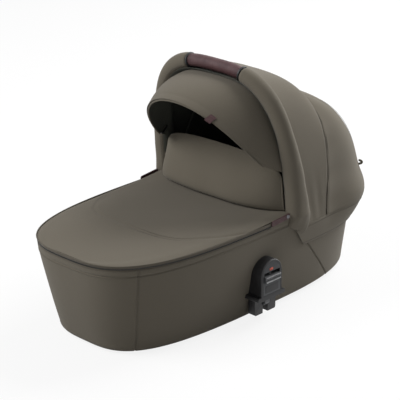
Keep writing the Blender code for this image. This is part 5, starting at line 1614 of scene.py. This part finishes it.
@dataclass
class CarryBow:
    """Leather grip, end rings and the two padded sleeves that run down over the hood joints."""

    palette: Palette
    grip_half: float = 0.0745
    grip_radius: float = 0.0146
    ring_radius: float = 0.0176
    ring_width: float = 0.0045
    sleeve_radius: float = 0.0192
    sleeve_foot: float = 0.2025
    foot_depth: float = 0.0265
    foot_flare: float = 0.006
    foot_wide: float = 0.0036
    tongue: float = 0.046
    tongue_y: float = 0.066
    tongue_flat: float = 0.74
    seam_turn: int = 232
    facing_z: float = 0.284

    def axes(self, path: Array) -> tuple[Array, Array]:
        """Directions across the bow: to the rear, square to its plane, and outwards at each point.

        Args:
            path: the bow's middle line (count, 3).

        Returns:
            The rear direction (3) and the outward ones (count, 3).
        """
        back = unit(np.array([0.0, BOW.top_z - BOW.foot_z, BOW.foot_y - BOW.top_y]))
        out = unit(np.cross(np.tile(back, (len(path), 1)), unit(np.gradient(path, axis=0))))
        return back, out * np.sign(out[:, :1] * path[:, :1] + out[:, 2:] * (path[:, 2:] - 0.3))

    def right_half(self) -> Array:
        """The bow's middle line on the right, from the sleeve's foot to its grip end."""
        line = BOW.arc(self.sleeve_foot, 4000)
        return line[line[:, 0] >= self.grip_half + self.ring_width + 0.0016]

    def swelling(self, share: Array) -> Array:
        """How far the sleeve has grown to its full size at its foot: 0 towards the grip, 1 at the foot."""
        return smooth(1 - share / 0.62)

    def slice_between(self, high: float, low: float, count: int) -> Array:
        """The bow's middle line between two values of x, at equal steps."""
        line = BOW.arc(0.2685, 4000)
        return evenly(line[(line[:, 0] <= high) & (line[:, 0] >= low)], count)

    def grip(self) -> None:
        """The leather grip: a sleeve with a sewn ridge below, slightly drawn in at its ends."""
        path = self.slice_between(self.grip_half, -self.grip_half, 90)
        way = np.linspace(-1, 1, 90)
        radius = self.grip_radius - groove(1 - np.abs(way), 0.05, 0.0006)

        def seam(along: Array, angle: Array) -> Array:
            """A pinched ridge where the leather's edges meet underneath."""
            turn = smaller_turn(angle - pi * 1.5)
            return groove(turn, 0.1, 0.0011) - groove(np.abs(turn) - 0.28, 0.1, 0.0008)

        piece = pipe("leather_grip", path, radius, self.palette.leather, 40, bore=0.0089, relief=seam)
        dress(piece, "carry_bow", "leather", "grip_sleeve")
        first, second = frames_along(path)
        for row, turn in enumerate((pi * 1.5 - 0.34, pi * 1.5 + 0.34)):
            up = first * cos(turn) + second * sin(turn)
            run = stitches(f"grip_thread_{row + 1}", path + up * (self.grip_radius - 0.0005), up,
                           self.palette.leather_thread)
            dress(run, "carry_bow", "leather")

    def rings(self) -> None:
        """The moulded ring at each end of the grip, with rounded shoulders."""
        for name, side in SIDES.items():
            low = self.grip_half + 0.0006
            path = self.slice_between(low + self.ring_width, low, 12)
            way = np.linspace(-1, 1, 12)
            radius = self.ring_radius - 0.0012 * way ** 4
            ring = pipe(f"end_ring_{name}", mirrored(path, side), radius, self.palette.black, 40, bore=0.0089)
            dress(ring, "carry_bow", "black_plastic", f"grip_ring_{name}")

    def sleeve_grid(self, rows: int, sides: int) -> Array:
        """The padded sleeve on the right side as a grid (rows along, points round).

        The section is an ellipse: round at the grip, deeper from front to back towards the foot, and flat on
        its inner side where it passes the hood joint.

        Args:
            rows: sections.
            sides: points round.

        Returns:
            Points (rows, sides, 3).
        """
        path = evenly(self.right_half(), rows)
        share = np.linspace(0, 1, rows)
        low = self.swelling(share)
        depth = self.sleeve_radius + (self.foot_depth - self.sleeve_radius) * low
        depth = depth + self.foot_flare * held(1 - share / 0.24) ** 1.5
        wide = self.sleeve_radius + self.foot_wide * low
        end = held((share - 0.9) / 0.1)
        depth = depth - (self.sleeve_radius - self.ring_radius + 0.0004) * end ** 2
        wide = wide - (self.sleeve_radius - self.ring_radius + 0.0004) * end ** 2
        lip = np.sqrt(held(1 - (1 - held(share / 0.018)) ** 2)) * 0.35 + 0.65
        lip = lip * (np.sqrt(held(1 - (1 - held((1 - share) / 0.012)) ** 2)) * 0.12 + 0.88)
        back, out = self.axes(path)
        turn = full_turn(sides)
        square = (1 - 0.24 * low)[:, None]
        broad = np.sign(np.cos(turn)) * np.abs(np.cos(turn))[None, :] ** square
        deep = np.sign(np.sin(turn)) * np.abs(np.sin(turn))[None, :] ** square
        return (path[:, None, :] + broad[..., None] * out[:, None, :] * (wide * lip)[:, None, None]
                + deep[..., None] * back * (depth * lip)[:, None, None])

    def sleeves(self) -> None:
        """Both sleeves with the seam along their inner front, and slight gathers at their feet."""
        rows, sides = 150, 56
        grid = self.sleeve_grid(rows, sides)
        turn = full_turn(sides)[None, :]
        share = np.linspace(0, 1, rows)[:, None]
        centre = grid.mean(axis=1, keepdims=True)
        away = unit(grid - centre)
        seam = smaller_turn(turn - radians(self.seam_turn))
        dip = groove(seam, 0.09, 0.0013)
        gather = 0.0006 * np.sin(turn * 11) * groove(share, 0.05, 1)
        soft = ripple(grid, SLACK) * 1.1 + 0.0005 * np.sin(share * 40 + turn * 2) * (1 - share) ** 2
        grid = grid + away * (gather + soft - dip)[..., None]
        keep = (held((0.276 - grid[..., 2]) / 0.012) * held((grid[..., 1] - 0.058 - SHIFT_Y) / 0.01))
        low = smooth((0.226 - grid[..., 2]) / 0.024)
        behind = held((grid[..., 1] - SHIFT_Y - self.tongue_y) / 0.062)
        grid[..., 2] -= self.tongue * low * behind
        beside = np.clip(grid[..., 1] - SHIFT_Y, 0, 0.3) / RIM.head
        wall = TUB.wall(np.arcsin(beside ** (RIM.power / 2)), grid[..., 2])[..., 0]
        flat = wall + (grid[..., 0] - wall) * (1 - self.tongue_flat * low)
        grid[..., 0] = np.where(grid[..., 0] > wall, flat, np.where(grid[..., 2] < 0.212, wall + 0.0004, grid[..., 0]))
        inner = 0.1806
        grid[..., 0] = np.where(grid[..., 0] < inner, grid[..., 0] + (inner - grid[..., 0]) * keep, grid[..., 0])
        uv = np.stack(np.broadcast_arrays(turn * 0.02, way_along(centre[:, 0])[:, None]), -1).reshape(-1, 2)
        sewn = int(round(sides * self.seam_turn / 360)) + 3
        bend = {"start": (0, PIVOT[1], 0.222), "end": (0, PIVOT[1] - 0.012, 0.285)}
        for name, side in SIDES.items():
            piece = mesh_piece(f"bow_sleeve_{name}", mirrored(grid, side).reshape(-1, 3), capped(rows, sides),
                               self.palette.canvas, uv, sharp=60.0)
            dress(piece, None, "canvas", f"bumper_{name}", f"joint_cap_{name}")
            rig.padded(piece, fill=0.9)
            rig.blend(piece, "tub", "carry_bow", **bend)
            run = stitches(f"sleeve_thread_{name}", mirrored(grid[4:-4, sewn], side),
                           mirrored(away[4:-4, sewn], side), self.palette.thread_dark)
            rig.slot(run, "canvas")
            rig.blend(run, "tub", "carry_bow", **bend)

    def inner_band(self) -> None:
        """The dark facing that hides the bow from inside: it follows the bow's inner and rear sides."""
        path = evenly(BOW.arc(self.facing_z, 4000), 260)
        back, out = self.axes(path)
        turn = np.radians(np.linspace(230, 97, 26))[:, None, None]
        whole = self.right_half()
        way = way_along(path)
        foot = way_along(whole[whole[:, 2] < self.facing_z])[-1]
        share = (foot + np.minimum(way, way[-1] - way)) / way_along(whole)[-1]
        low = self.swelling(share)[None, :, None]
        deep = self.sleeve_radius + (self.foot_depth - self.sleeve_radius) * low + 0.0014
        wide = self.sleeve_radius + self.foot_wide * low + 0.0014
        grid = path[None] + np.cos(turn) * out[None] * wide + np.sin(turn) * back[None, None] * deep
        piece = cloth_piece("bow_facing", grid, 0.0008, self.palette.lining)
        dress(piece, "carry_bow", "lining")
        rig.sheet(piece, **cut_of(grid), held="stretched", rests_on=["carry_tube"])

    def build(self) -> None:
        """Builds the bow's cover pieces."""
        self.grip()
        self.rings()
        self.sleeves()
        self.inner_band()
        finish_node("carry_tube", self.palette.steel)
        for name in SIDES:
            finish_node(f"bow_end_{name}", self.palette.black)


# Hood joints and mid bow

@dataclass
class Joints:
    """Moulded joint housings, pins and press buttons, and the mid bow's wire."""

    palette: Palette

    def build(self) -> None:
        """Gives the moulded joint parts eased edges and the wire its finish."""
        finish_node("mid_bow", self.palette.lining)
        for name in SIDES:
            housing = polished(f"joint_housing_{name}", f"hood_joint_{name}", self.palette.black, 0.0008)
            dress(housing, "tub", "black_plastic")
            button = polished(f"press_button_{name}", f"hood_button_{name}", self.palette.grey, 0.0006)
            dress(button, f"hood_button_{name}", "grey_plastic")
            finish_node(f"hood_pin_{name}", self.palette.steel)


# Visor

@dataclass
class Visor:
    """The pop-out visor: a sheet sewn under the bow, its hem on a sprung wire, and a leather tab."""

    palette: Palette
    half_width: float = 0.1613
    foot_y: float = 0.0794
    foot_z: float = 0.3091
    edge_y: float = -0.0865
    edge_z: float = 0.4791
    power: float = 2.056
    lean: float = 3.118
    start_z: float = 0.342
    sewn_z: float = 0.322
    sewn_full_z: float = 0.42
    sewn_out: float = 0.006
    sewn_ahead: float = 0.01
    wire: float = 0.0016
    bulge: float = 0.012
    under: float = 0.0212
    sheet: float = 0.0016
    hem: float = 0.002
    tab_x: float = 0.088
    tab_width: float = 0.015
    tab_length: float = 0.0135
    tab_sheet: float = 0.0018
    tab_beyond: float = 0.005

    def edge(self, grow: float = 0.0, fine: int = 2400) -> Array:
        """The wire's arch from +X to -X: a superellipse seen from the front that leans out as it rises.

        Args:
            grow: metres set out from it.
            fine: points.

        Returns:
            Points (fine, 3).
        """
        low = (self.start_z - self.foot_z) / (self.edge_z - self.foot_z)
        first = asin(low ** (self.power / 2))
        a = np.linspace(first, pi - first, fine)
        narrow, lift = np.cos(a), np.sin(a)
        x = (self.half_width + grow) * np.sign(narrow) * np.abs(narrow) ** (2 / self.power)
        y = self.foot_y + (self.edge_y - grow - self.foot_y) * lift ** (2 / self.lean) + SHIFT_Y
        z = self.foot_z + (self.edge_z + grow - self.foot_z) * lift ** (2 / self.power)
        return np.stack([x, y, z], 1)

    def back(self, fine: int = 3000) -> Array:
        """The line under the carry bow where the sheet is sewn to it, drawn to the bow's front low down.

        Args:
            fine: points before the lowest are left out.

        Returns:
            Points (count, 3).
        """
        small = BowLine(BOW.half_width - self.under, top_z=BOW.top_z - self.under)
        line = small.arc(self.sewn_z, fine)
        low = smooth((self.sewn_full_z - line[:, 2]) / (self.sewn_full_z - self.sewn_z))
        line[:, 0] += np.sign(line[:, 0]) * self.sewn_out * low
        line[:, 1] -= 0.0003 + self.sewn_ahead * low
        return line

    def grid(self, rows: int, columns: int, outset: float) -> Array:
        """The sheet from under the bow to its wire, bulging between them.

        Args:
            rows: from the bow to the wire.
            columns: from the right end to the left one.
            outset: metres over the line itself.

        Returns:
            Rows of points.
        """
        back = evenly(self.back(), columns)
        front = evenly(self.edge(self.wire + 0.0006), columns)
        centre = np.array([0.0, (0.0415 + self.edge_y) / 2 + SHIFT_Y, self.start_z])
        t = np.linspace(0, 1, rows)[:, None, None]
        flat = back[None] + (front - back)[None] * t
        away = unit((flat - centre) * [1, 0, 1])
        lift = np.sin(np.linspace(0, pi, columns))[None, :, None]
        return flat + away * (self.bulge * np.sin(np.pi * t) * lift + outset)

    def sheet_piece(self) -> None:
        """The sewn sheet, canvas outside and dark lining inside."""
        rows, columns = 60, 190
        grid = self.grid(rows, columns, 0.0018)
        t = np.linspace(0, 1, rows)[:, None]
        centre = np.array([0, grid[..., 1].mean(), self.start_z])
        away = unit((grid - centre) * [1, 0, 1])
        dip = groove((1 - t) * 0.09 - 0.01, 0.0026, 0.0004)
        grid = grid + away * (ripple(grid, SLACK) * 1.2 - dip)[..., None]
        piece = cloth_piece("visor_cloth", grid, self.sheet, self.palette.canvas, self.palette.lining)
        dress(piece, None, "canvas", "visor_panel")
        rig.blend(piece, "carry_bow", "visor", start=(0, 0.0389 + SHIFT_Y, 0.515), end=(0, -0.0077 + SHIFT_Y, 0.5088))
        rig.sheet(piece, **cut_of(grid), held="stretched", rests_on=["sprung_wire"])

    def hem_piece(self) -> None:
        """The hem: the sheet's edge wrapped round the wire, whose ends reach the hinge arms."""
        path = evenly(self.edge(), 190)
        hem = pipe("visor_hem", path, self.hem, self.palette.canvas, 16, bore=self.wire + 0.0002)
        dress(hem, "visor", "canvas")
        end = path[0] + [-0.003, 0.0055, 0.0005]
        wire = pipe("sprung_wire", np.concatenate([[end], path[2:-2], [end * [-1, 1, 1]]]), self.wire,
                    self.palette.steel, 10)
        dress(wire, "visor", "steel", "visor_wire")
        for name, side in SIDES.items():
            start = np.array([0.175, 0.064 + SHIFT_Y, 0.3455])
            bar = evenly(np.stack([start, end + [-0.0022, -0.0035, 0.0005]]), 14)
            share = np.linspace(-1, 1, 14)
            round_off = np.sqrt(np.clip(1 - held((np.abs(share) - 0.86) / 0.15) ** 2, 0.05, 1))
            arm = pipe(f"hinge_arm_{name}", mirrored(bar, side), 0.004 * round_off, self.palette.black, 16, squash=0.5)
            dress(arm, "carry_bow", "black_plastic", f"visor_lug_{name}")

    def tab(self) -> None:
        """The leather tab, folded over the edge and held by one row of thread."""
        line = self.grid(2, 400, 0.0)[-1]
        column = int(np.argmin(np.abs(line[:, 0] - self.tab_x)))
        fine = self.grid(120, 400, 0.0026)[:, column]
        beside = unit(line[column + 3] - line[column - 3])
        over = evenly(fine[-28:], 14)
        down = unit(over[-1] - over[0])
        face = np.cross(beside, down)
        face *= copysign(1.0, face[2])
        turn = np.linspace(0, pi * 0.92, 12)[1:]
        bend = self.hem + 0.0006
        base = over[-1] + down * self.tab_beyond - face * 0.0008
        curl = base + np.outer(np.sin(turn), down) * bend - np.outer(1 - np.cos(turn), face) * bend
        tail = curl[-1] - down * (self.tab_beyond + 0.004)
        path = evenly(np.concatenate([over, base[None], curl, tail[None]]), 60)
        keep = way_along(path)
        path = path[keep > keep[-1] - self.tab_length - 0.019]
        across = np.linspace(-self.tab_width / 2, self.tab_width / 2, 9)
        grid = path[:, None, :] + across[None, :, None] * beside[None, None, :]
        if normals_of(grid)[5, 4, 2] < 0:
            grid = grid[:, ::-1]
        grid = grid + normals_of(grid) * (self.tab_sheet * 0.5)
        piece = cloth_piece("pull_tab", grid, self.tab_sheet, self.palette.leather)
        dress(piece, "visor", "leather", "visor_tab")
        for name, part in (("high", 5), ("low", 15)):
            up = np.tile(normals_of(grid)[part, 4], (30, 1))
            run = stitches(f"pull_tab_thread_{name}", evenly(grid[part, 1:-1], 30), up, self.palette.leather_thread,
                           0.002, 0.0008)
            dress(run, "visor", "leather")

    def build(self) -> None:
        """Builds the visor."""
        self.sheet_piece()
        self.hem_piece()
        self.tab()


# Wind guard

@dataclass
class WindGuard:
    """The padded flap that stands between the bows, piped round its edge."""

    palette: Palette
    foot_y: float = 0.026
    foot_back: float = 0.034
    top_y: float = 0.062
    top_forward: float = 0.014
    top_z: float = 0.3445
    half_width: float = 0.19
    narrowing: float = 0.012
    foot_corner: float = 0.008
    top_corner: float = 0.02
    bulge: float = 0.033
    belly: float = 0.42
    corner_rise: float = 0.008
    edge: float = 0.004
    padding: float = 0.009
    power: float = 5.0
    crown: float = 0.014

    def faces(self, t: Array, u: Array) -> tuple[Array, Array]:
        """Front and back of the pad.

        Its outline is a flat-topped arch. Both faces swell most near the foot, by the sine of a root of the
        height, and by a fourth power across.

        Args:
            t: 0 at the foot, 1 at the top.
            u: -1 to 1 across.

        Returns:
            Points of the front and of the back.
        """
        t, u = np.broadcast_arrays(t, u)
        x = u * (self.half_width - self.narrowing * t)
        foot_z = (TUB.rim_height + 0.0006 + self.crown * (1 - (x / RIM.half_width) ** 4) + self.corner_rise * u ** 8)
        arch = (1 - np.abs(u) ** self.power) ** (1 / self.power)
        z = foot_z + (self.top_z - foot_z) * t * arch
        low = self.foot_y + self.foot_back * np.abs(u) ** 3 + self.foot_corner * np.abs(u) ** 10
        high = self.top_y - self.top_forward * np.abs(u) ** 2 + self.top_corner * np.abs(u) ** 8
        swell = np.sin(np.pi * t ** self.belly) * (1 - u ** 4)
        y = low + (high - low) * t - self.bulge * swell + SHIFT_Y
        depth = self.edge + self.padding * swell
        return np.stack([x, y, z], -1), np.stack([x, y + depth, z], -1)

    def build(self) -> None:
        """Builds the pad as one closed form, then the piping round it."""
        rows, columns = 70, 150
        t = np.linspace(0, 1, rows)[:, None] ** 2
        u = np.sin(np.linspace(-1, 1, columns) * pi / 2)[None, :] * 0.975
        front, back = self.faces(t, u)
        side = np.minimum(np.minimum(t, 1 - t) * 0.125, (1 - np.abs(u)) * 0.17)
        dip = groove(side - 0.01, 0.004, 0.0004)
        soft = ripple(front, SLACK) * 1.6 + 0.0008 * np.sin(front[..., 0] * 55 + front[..., 2] * 38)
        front[..., 1] -= soft - dip
        back[..., 1] += soft * 0.5 - dip
        piece = shell("padded_guard", front, back, self.palette.canvas, self.palette.lining, sharp=60.0)
        dress(piece, "wind_guard", "canvas", "wind_guard")
        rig.padded(piece, fill=0.9)
        middle = (front + back) / 2
        path = np.concatenate([middle[:, 0], middle[-1, 1:], middle[-2::-1, -1]])
        dress(pipe("guard_piping", evenly(path, 260), 0.0022, self.palette.canvas, 12), "wind_guard", "canvas")


# Inside of the tub

@dataclass
class Inside:
    """Lining, mattress, board, frame, uprights, tray and feet."""

    palette: Palette
    mattress_foot: float = -0.3525
    mattress_head: float = 0.3735
    mattress_half: float = 0.1485
    low: float = 0.0149
    thick: float = 0.036
    crown: float = 0.0068

    def mattress(self) -> None:
        """The mattress: a rounded slab with a crown, round edges and a tufted top."""
        outline = Outline(self.mattress_half - 0.0004, -self.mattress_foot - 0.0004, self.mattress_head - 0.0004)
        sides, rings = 200, 46
        angle = full_turn(sides)
        rows = []
        x, y = outline.points(angle)[:2]
        for share in np.linspace(0.02, 0.97, rings):
            px, py = x * share, y * share
            rise = self.crown * (1 - share ** 4)
            tuft = 0.0016 * (np.cos(px * 105) ** 2 * np.cos(py * 52) ** 2) * (1 - share ** 6)
            rows.append(np.stack([px, py + SHIFT_Y, self.low + self.thick - 0.0012 + rise - tuft], 1))
        for a in np.linspace(pi / 2, -pi / 2, 17):
            ex, ey = outline.points(angle, 0.0045 * (1 - cos(a)) + 0.0004)[:2]
            z = self.low + self.thick / 2 + (self.thick / 2 - 0.0012) * sin(a)
            rows.append(np.stack([ex, ey + SHIFT_Y, np.full_like(x, z)], 1))
        for share in (0.9, 0.5, 0.02):
            rows.append(np.stack([x * share, y * share + SHIFT_Y, np.full_like(x, self.low + 0.0006)], 1))
        grid = np.array(rows)
        piece = mesh_piece("quilted_mattress", grid.reshape(-1, 3), capped(len(rows), sides),
                           self.palette.ticking, grid[..., :2].reshape(-1, 2), sharp=60.0)
        dress(piece, "tub", "pad", "mattress")
        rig.padded(piece, fill=0.95)

    def build(self) -> None:
        """Builds and dresses what lies inside and beneath."""
        self.mattress()
        for node, finish in (("inner_lining", self.palette.quilt), ("wall_board", self.palette.board),
                             ("rim_frame", self.palette.black), ("base_tray", self.palette.black)):
            finish_node(node, finish)
        for name in SIDES:
            finish_node(f"side_upright_{name}", self.palette.steel)
            for end in ("foot", "head"):
                foot = polished(f"rubber_{end}_{name}", f"rest_foot_{end}_{name}", self.palette.rubber, 0.001)
                dress(foot, "tub", "rubber")


# Side straps

@dataclass
class SideStraps:
    """The leather strap on each side, rising to its snap at the hood joint."""

    palette: Palette
    start_y: float = 0.004
    end_y: float = 0.061
    width: float = 0.0126
    sheet: float = 0.0019
    rise: float = 0.005
    snap_radius: float = 0.0046
    snap_at: float = 0.89

    def build(self) -> None:
        """Builds straps, threads and snaps."""
        rows = 40
        y = np.linspace(self.start_y, self.end_y, rows)
        share = (y - self.start_y) / (self.end_y - self.start_y)
        middle = TUB.rim_height + 0.0004 + self.rise * share
        x = RIM.half_width + 0.0004 + share * 0.0012 + self.sheet
        across = np.linspace(-0.5, 0.5, 9)
        ends = np.sqrt(held(1 - (np.clip(np.abs(share - 0.5) - 0.46, 0, 0.04) / 0.042) ** 2))
        tall = middle[:, None] + across[None, :] * self.width * (0.55 + 0.45 * ends)[:, None]
        grid = np.stack(np.broadcast_arrays(x[:, None], y[:, None] + SHIFT_Y, tall), -1)
        grid[..., 0] -= 0.0006 * (np.abs(across) * 2)[None, :] ** 4
        for name, side in SIDES.items():
            sheet = mirrored(grid, side)
            if normals_of(sheet)[10, 4, 0] * side < 0:
                sheet = sheet[:, ::-1]
            piece = cloth_piece(f"leather_strap_{name}", sheet, self.sheet, self.palette.leather)
            dress(piece, "tub", "leather", f"side_strap_{name}")
            for row, part in (("low", 0.36), ("high", -0.36)):
                path = np.stack([x, y + SHIFT_Y, middle + part * self.width], 1)[2:-2]
                run = stitches(f"strap_thread_{row}_{name}", mirrored(path, side),
                               np.tile([float(side), 0, 0], (len(path), 1)), self.palette.leather_thread,
                               0.0026, 0.001, 0.0007, 0.0004)
                dress(run, "tub", "leather")
            centre = (side * (np.interp(self.snap_at, share, x) - 0.0002),
                      self.start_y + (self.end_y - self.start_y) * self.snap_at + SHIFT_Y,
                      np.interp(self.snap_at, share, middle))
            r = self.snap_radius
            profile = [(0.0, r), (0.0008, r), (0.0015, r * 0.93), (0.0019, r * 0.8), (0.0018, r * 0.66),
                       (0.0014, r * 0.58), (0.0016, r * 0.45), (0.0021, r * 0.25), (0.0022, 0.0)]
            dress(turned(f"snap_{name}", profile, centre, (side, 0, 0), self.palette.snap), "tub", "steel")


# Adapters

@dataclass
class Adapters:
    """The plug-in adapter on each side: housing, face, ribbed lever, latch tongue and marks."""

    palette: Palette
    middle_y: float = -0.009
    front_x: float = 0.2177
    plate: Spot = (-0.021, 0.021, 0.0745, 0.0915)
    mark: Spot = (-0.0085, 0.0025, 0.126, 0.1318)
    lever_x: float = 0.2227
    lever_half: float = 0.0232
    lever_z: tuple[float, float] = (0.1, 0.114)

    def plate_piece(self, name: str, side: int, spot: Spot, depth: float,
                    material: Material, label: str, slot: str) -> None:
        """A thin bare plate on the face, with rounded corners.

        Args:
            name: side's name.
            side: 1 or -1.
            spot: y from and to, z from and to.
            depth: how far it stands out.
            material: finish.
            label: first words of the piece's name.
            slot: the record's name for the finish.
        """
        y0, y1, z0, z1 = spot
        r = 0.0018
        turn = np.linspace(0, pi / 2, 7)
        ring = []
        for cy, cz, first in ((y1 - r, z1 - r, 0), (y0 + r, z1 - r, 1), (y0 + r, z0 + r, 2), (y1 - r, z0 + r, 3)):
            a = turn + first * pi / 2
            ring.append(np.stack([cy + r * np.cos(a), cz + r * np.sin(a)], 1))
        ring = np.concatenate(ring)
        ring[:, 0] += self.middle_y + SHIFT_Y
        centre = ring.mean(0)
        rows = [np.column_stack([np.full(len(ring), self.front_x + out), centre + (ring - centre) * scale])
                for out, scale in ((-0.0002, 1.0), (depth * 0.7, 1.0), (depth, 0.94))]
        piece = mesh_piece(f"{label}_{name}", mirrored(np.concatenate(rows), side), capped(3, len(ring)), material,
                           sharp=35.0)
        dress(piece, "tub", slot)

    def lever_ribs(self, name: str, side: int) -> None:
        """The lever's grip: a raised bar along each long edge, coloured light grey as a painted highlight of that edge,
        and fine upright ribs between them.

        Args:
            name: side's name.
            side: 1 or -1.
        """
        low, high = self.lever_z
        y = np.linspace(-self.lever_half, self.lever_half, 120) + self.middle_y + SHIFT_Y
        # The low and high bars are light grey: painted highlights on the lever's edges. The ribs are plain grey.
        for part, z, width, count in (("low", low + 0.0021, 0.003, 1), ("high", high - 0.0013, 0.0014, 1),
                                      ("rib", (low + high) / 2, 0.0066, 22)):
            path = mirrored(np.stack([np.full_like(y, self.lever_x), y, np.full_like(y, z)], 1), side)
            up = np.tile([float(side), 0, 0], (len(y), 1))
            long = 2 * self.lever_half / count
            bar = stitches(f"lever_{part}_{name}", path, up, self.palette.light if count == 1 else self.palette.grey,
                           long * (0.97 if count == 1 else 0.55), long * (0.02 if count == 1 else 0.42), width, 0.0006)
            dress(bar, f"lever_{name}", "grey_plastic")

    def build(self) -> None:
        """Builds both adapters."""
        for name, side in SIDES.items():
            housing = polished(f"housing_{name}", f"adapter_housing_{name}", self.palette.black, 0.0009)
            face = polished(f"face_{name}", f"adapter_face_{name}", self.palette.dark, 0.0004)
            lever = polished(f"lever_{name}", f"release_lever_{name}", self.palette.grey, 0.0005)
            tongue = polished(f"tongue_{name}", f"latch_tongue_{name}", self.palette.grey, 0.0006)
            for piece, body, slot in ((housing, "tub", "black_plastic"), (face, "tub", "dark_plastic"),
                                      (lever, f"lever_{name}", "grey_plastic"),
                                      (tongue, f"latch_{name}", "grey_plastic")):
                dress(piece, body, slot)
            finish_node(f"lever_spring_{name}", self.palette.steel)
            self.lever_ribs(name, side)
            self.plate_piece(name, side, self.plate, 0.0005, self.palette.black, "label_plate", "black_plastic")
            self.plate_piece(name, side, self.mark, 0.0006, self.palette.red, "lock_mark", "red_plastic")


# Studio

@dataclass(frozen=True)
class Lamp:
    """A square soft lamp."""

    name: str
    place: tuple[float, float, float]
    size: float
    power: float
    target: tuple[float, float, float] = (0.0, 0.0, 0.2)

    def build(self) -> None:
        """Hangs the lamp and turns it to its target."""
        data = bpy.data.lights.new(self.name, "AREA")
        data.size = self.size
        data.energy = self.power
        lamp = bpy.data.objects.new(self.name, data)
        bpy.context.collection.objects.link(lamp)
        lamp.location = self.place
        way = Vector(self.target) - Vector(self.place)
        lamp.rotation_euler = way.to_track_quat("-Z", "Y").to_euler()


@dataclass(frozen=True)
class Studio:
    """White floor, soft lamps and the camera at the photograph's place."""

    azimuth: float = 43.576
    elevation: float = 21.181
    distance: float = 3.766
    lens: float = 151.07
    shift: tuple[float, float] = (-0.00715, -0.0233)
    aim_height: float = 0.25
    floor_bright: float = 0.86
    ambient: float = 0.2

    def looked_at(self, graph: Graph) -> Signal:
        """Whether the camera or a mirror ray looks, as 1 or 0."""
        rays = graph.node("ShaderNodeLightPath").outputs
        return graph.maths("MAXIMUM", rays["Is Camera Ray"], rays["Is Glossy Ray"])

    def floor(self) -> None:
        """The white floor, nearly as bright as the backdrop, with a faint shadow on it."""
        g = Graph("floor")
        g.tree.nodes.clear()
        pale, white = (g.node("ShaderNodeBsdfDiffuse", None, {"Color": (c, c, c, 1)}, 0) for c in (0.55, 0.95))
        bright = g.node("ShaderNodeEmission", None, {"Strength": 1.0}, 0)
        shown = g.node("ShaderNodeMixShader", None, {0: self.floor_bright, 1: white, 2: bright}, 0)
        whole = g.node("ShaderNodeMixShader", None, {0: self.looked_at(g), 1: pale, 2: shown}, 0)
        g.node("ShaderNodeOutputMaterial", None, {"Surface": whole})
        mesh = bpy.data.meshes.new("floor")
        half = 6.0
        mesh.from_pydata([(-half, -half, 0), (half, -half, 0), (half, half, 0), (-half, half, 0)], [], [(0, 1, 2, 3)])
        mesh.materials.append(g.material)
        floor = bpy.data.objects.new("floor", mesh)
        bpy.context.collection.objects.link(floor)
        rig.stage(floor)

    def world(self) -> None:
        """Even white surroundings, seen plainly by the camera and dimmer as a light."""
        g = Graph("studio", bpy.data.worlds.new("studio"))
        g.tree.nodes.clear()
        seen = g.node("ShaderNodeBackground", None, {"Color": (1, 1, 1, 1), "Strength": 1.0}, 0)
        lit = g.node("ShaderNodeBackground", None, {"Color": (0.97, 0.98, 1.0, 1), "Strength": self.ambient}, 0)
        whole = g.node("ShaderNodeMixShader", None, {0: self.looked_at(g), 1: lit, 2: seen}, 0)
        g.node("ShaderNodeOutputWorld", None, {"Surface": whole})
        bpy.context.scene.world = g.material

    def camera(self) -> None:
        """The camera, turned by azimuth and elevation about a point over the origin."""
        az, el = radians(self.azimuth), radians(self.elevation)
        back = Vector((sin(az) * cos(el), -cos(az) * cos(el), sin(el)))
        data = bpy.data.cameras.new("camera")
        data.lens = self.lens
        data.sensor_width = 36.0
        data.shift_x, data.shift_y = self.shift
        camera = bpy.data.objects.new("camera", data)
        bpy.context.collection.objects.link(camera)
        camera.location = back * self.distance + Vector((0.0, SHIFT_Y, self.aim_height))
        camera.rotation_euler = (-back).to_track_quat("-Z", "Y").to_euler()
        bpy.context.scene.camera = camera

    def build(self) -> None:
        """Sets up floor, lamps, surroundings and camera."""
        self.floor()
        for lamp in (Lamp("key", (-1.6, -2.6, 2.6), 2.0, 93.0), Lamp("back", (0.3, 2.4, 2.6), 2.0, 102.0),
                     Lamp("side", (0.8, 3.5, 1.3), 2.0, 44.0)):
            lamp.build()
        self.world()
        self.camera()
        bpy.context.scene.view_settings.view_transform = "Standard"


def main() -> None:
    """Builds every sub-assembly in order, logs its pieces and notes the two boxes."""
    palette = Palette()
    for part in (Inside(palette), Cover(palette), Apron(palette), Hood(palette), CarryBow(palette), Joints(palette),
                 Visor(palette), WindGuard(palette), SideStraps(palette), Adapters(palette), Studio()):
        known = set(bpy.data.objects.keys())
        part.build()
        for name in sorted(set(bpy.data.objects.keys()) - known):
            log.info("%s: %s", type(part).__name__, name)
    seen = [[float(c) for c in corner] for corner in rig.bounds()]
    with open("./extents.json", "w") as out:
        json.dump({"cad": CAD_BOX, "visual": seen}, out)


if __name__ == "__main__":
    main()
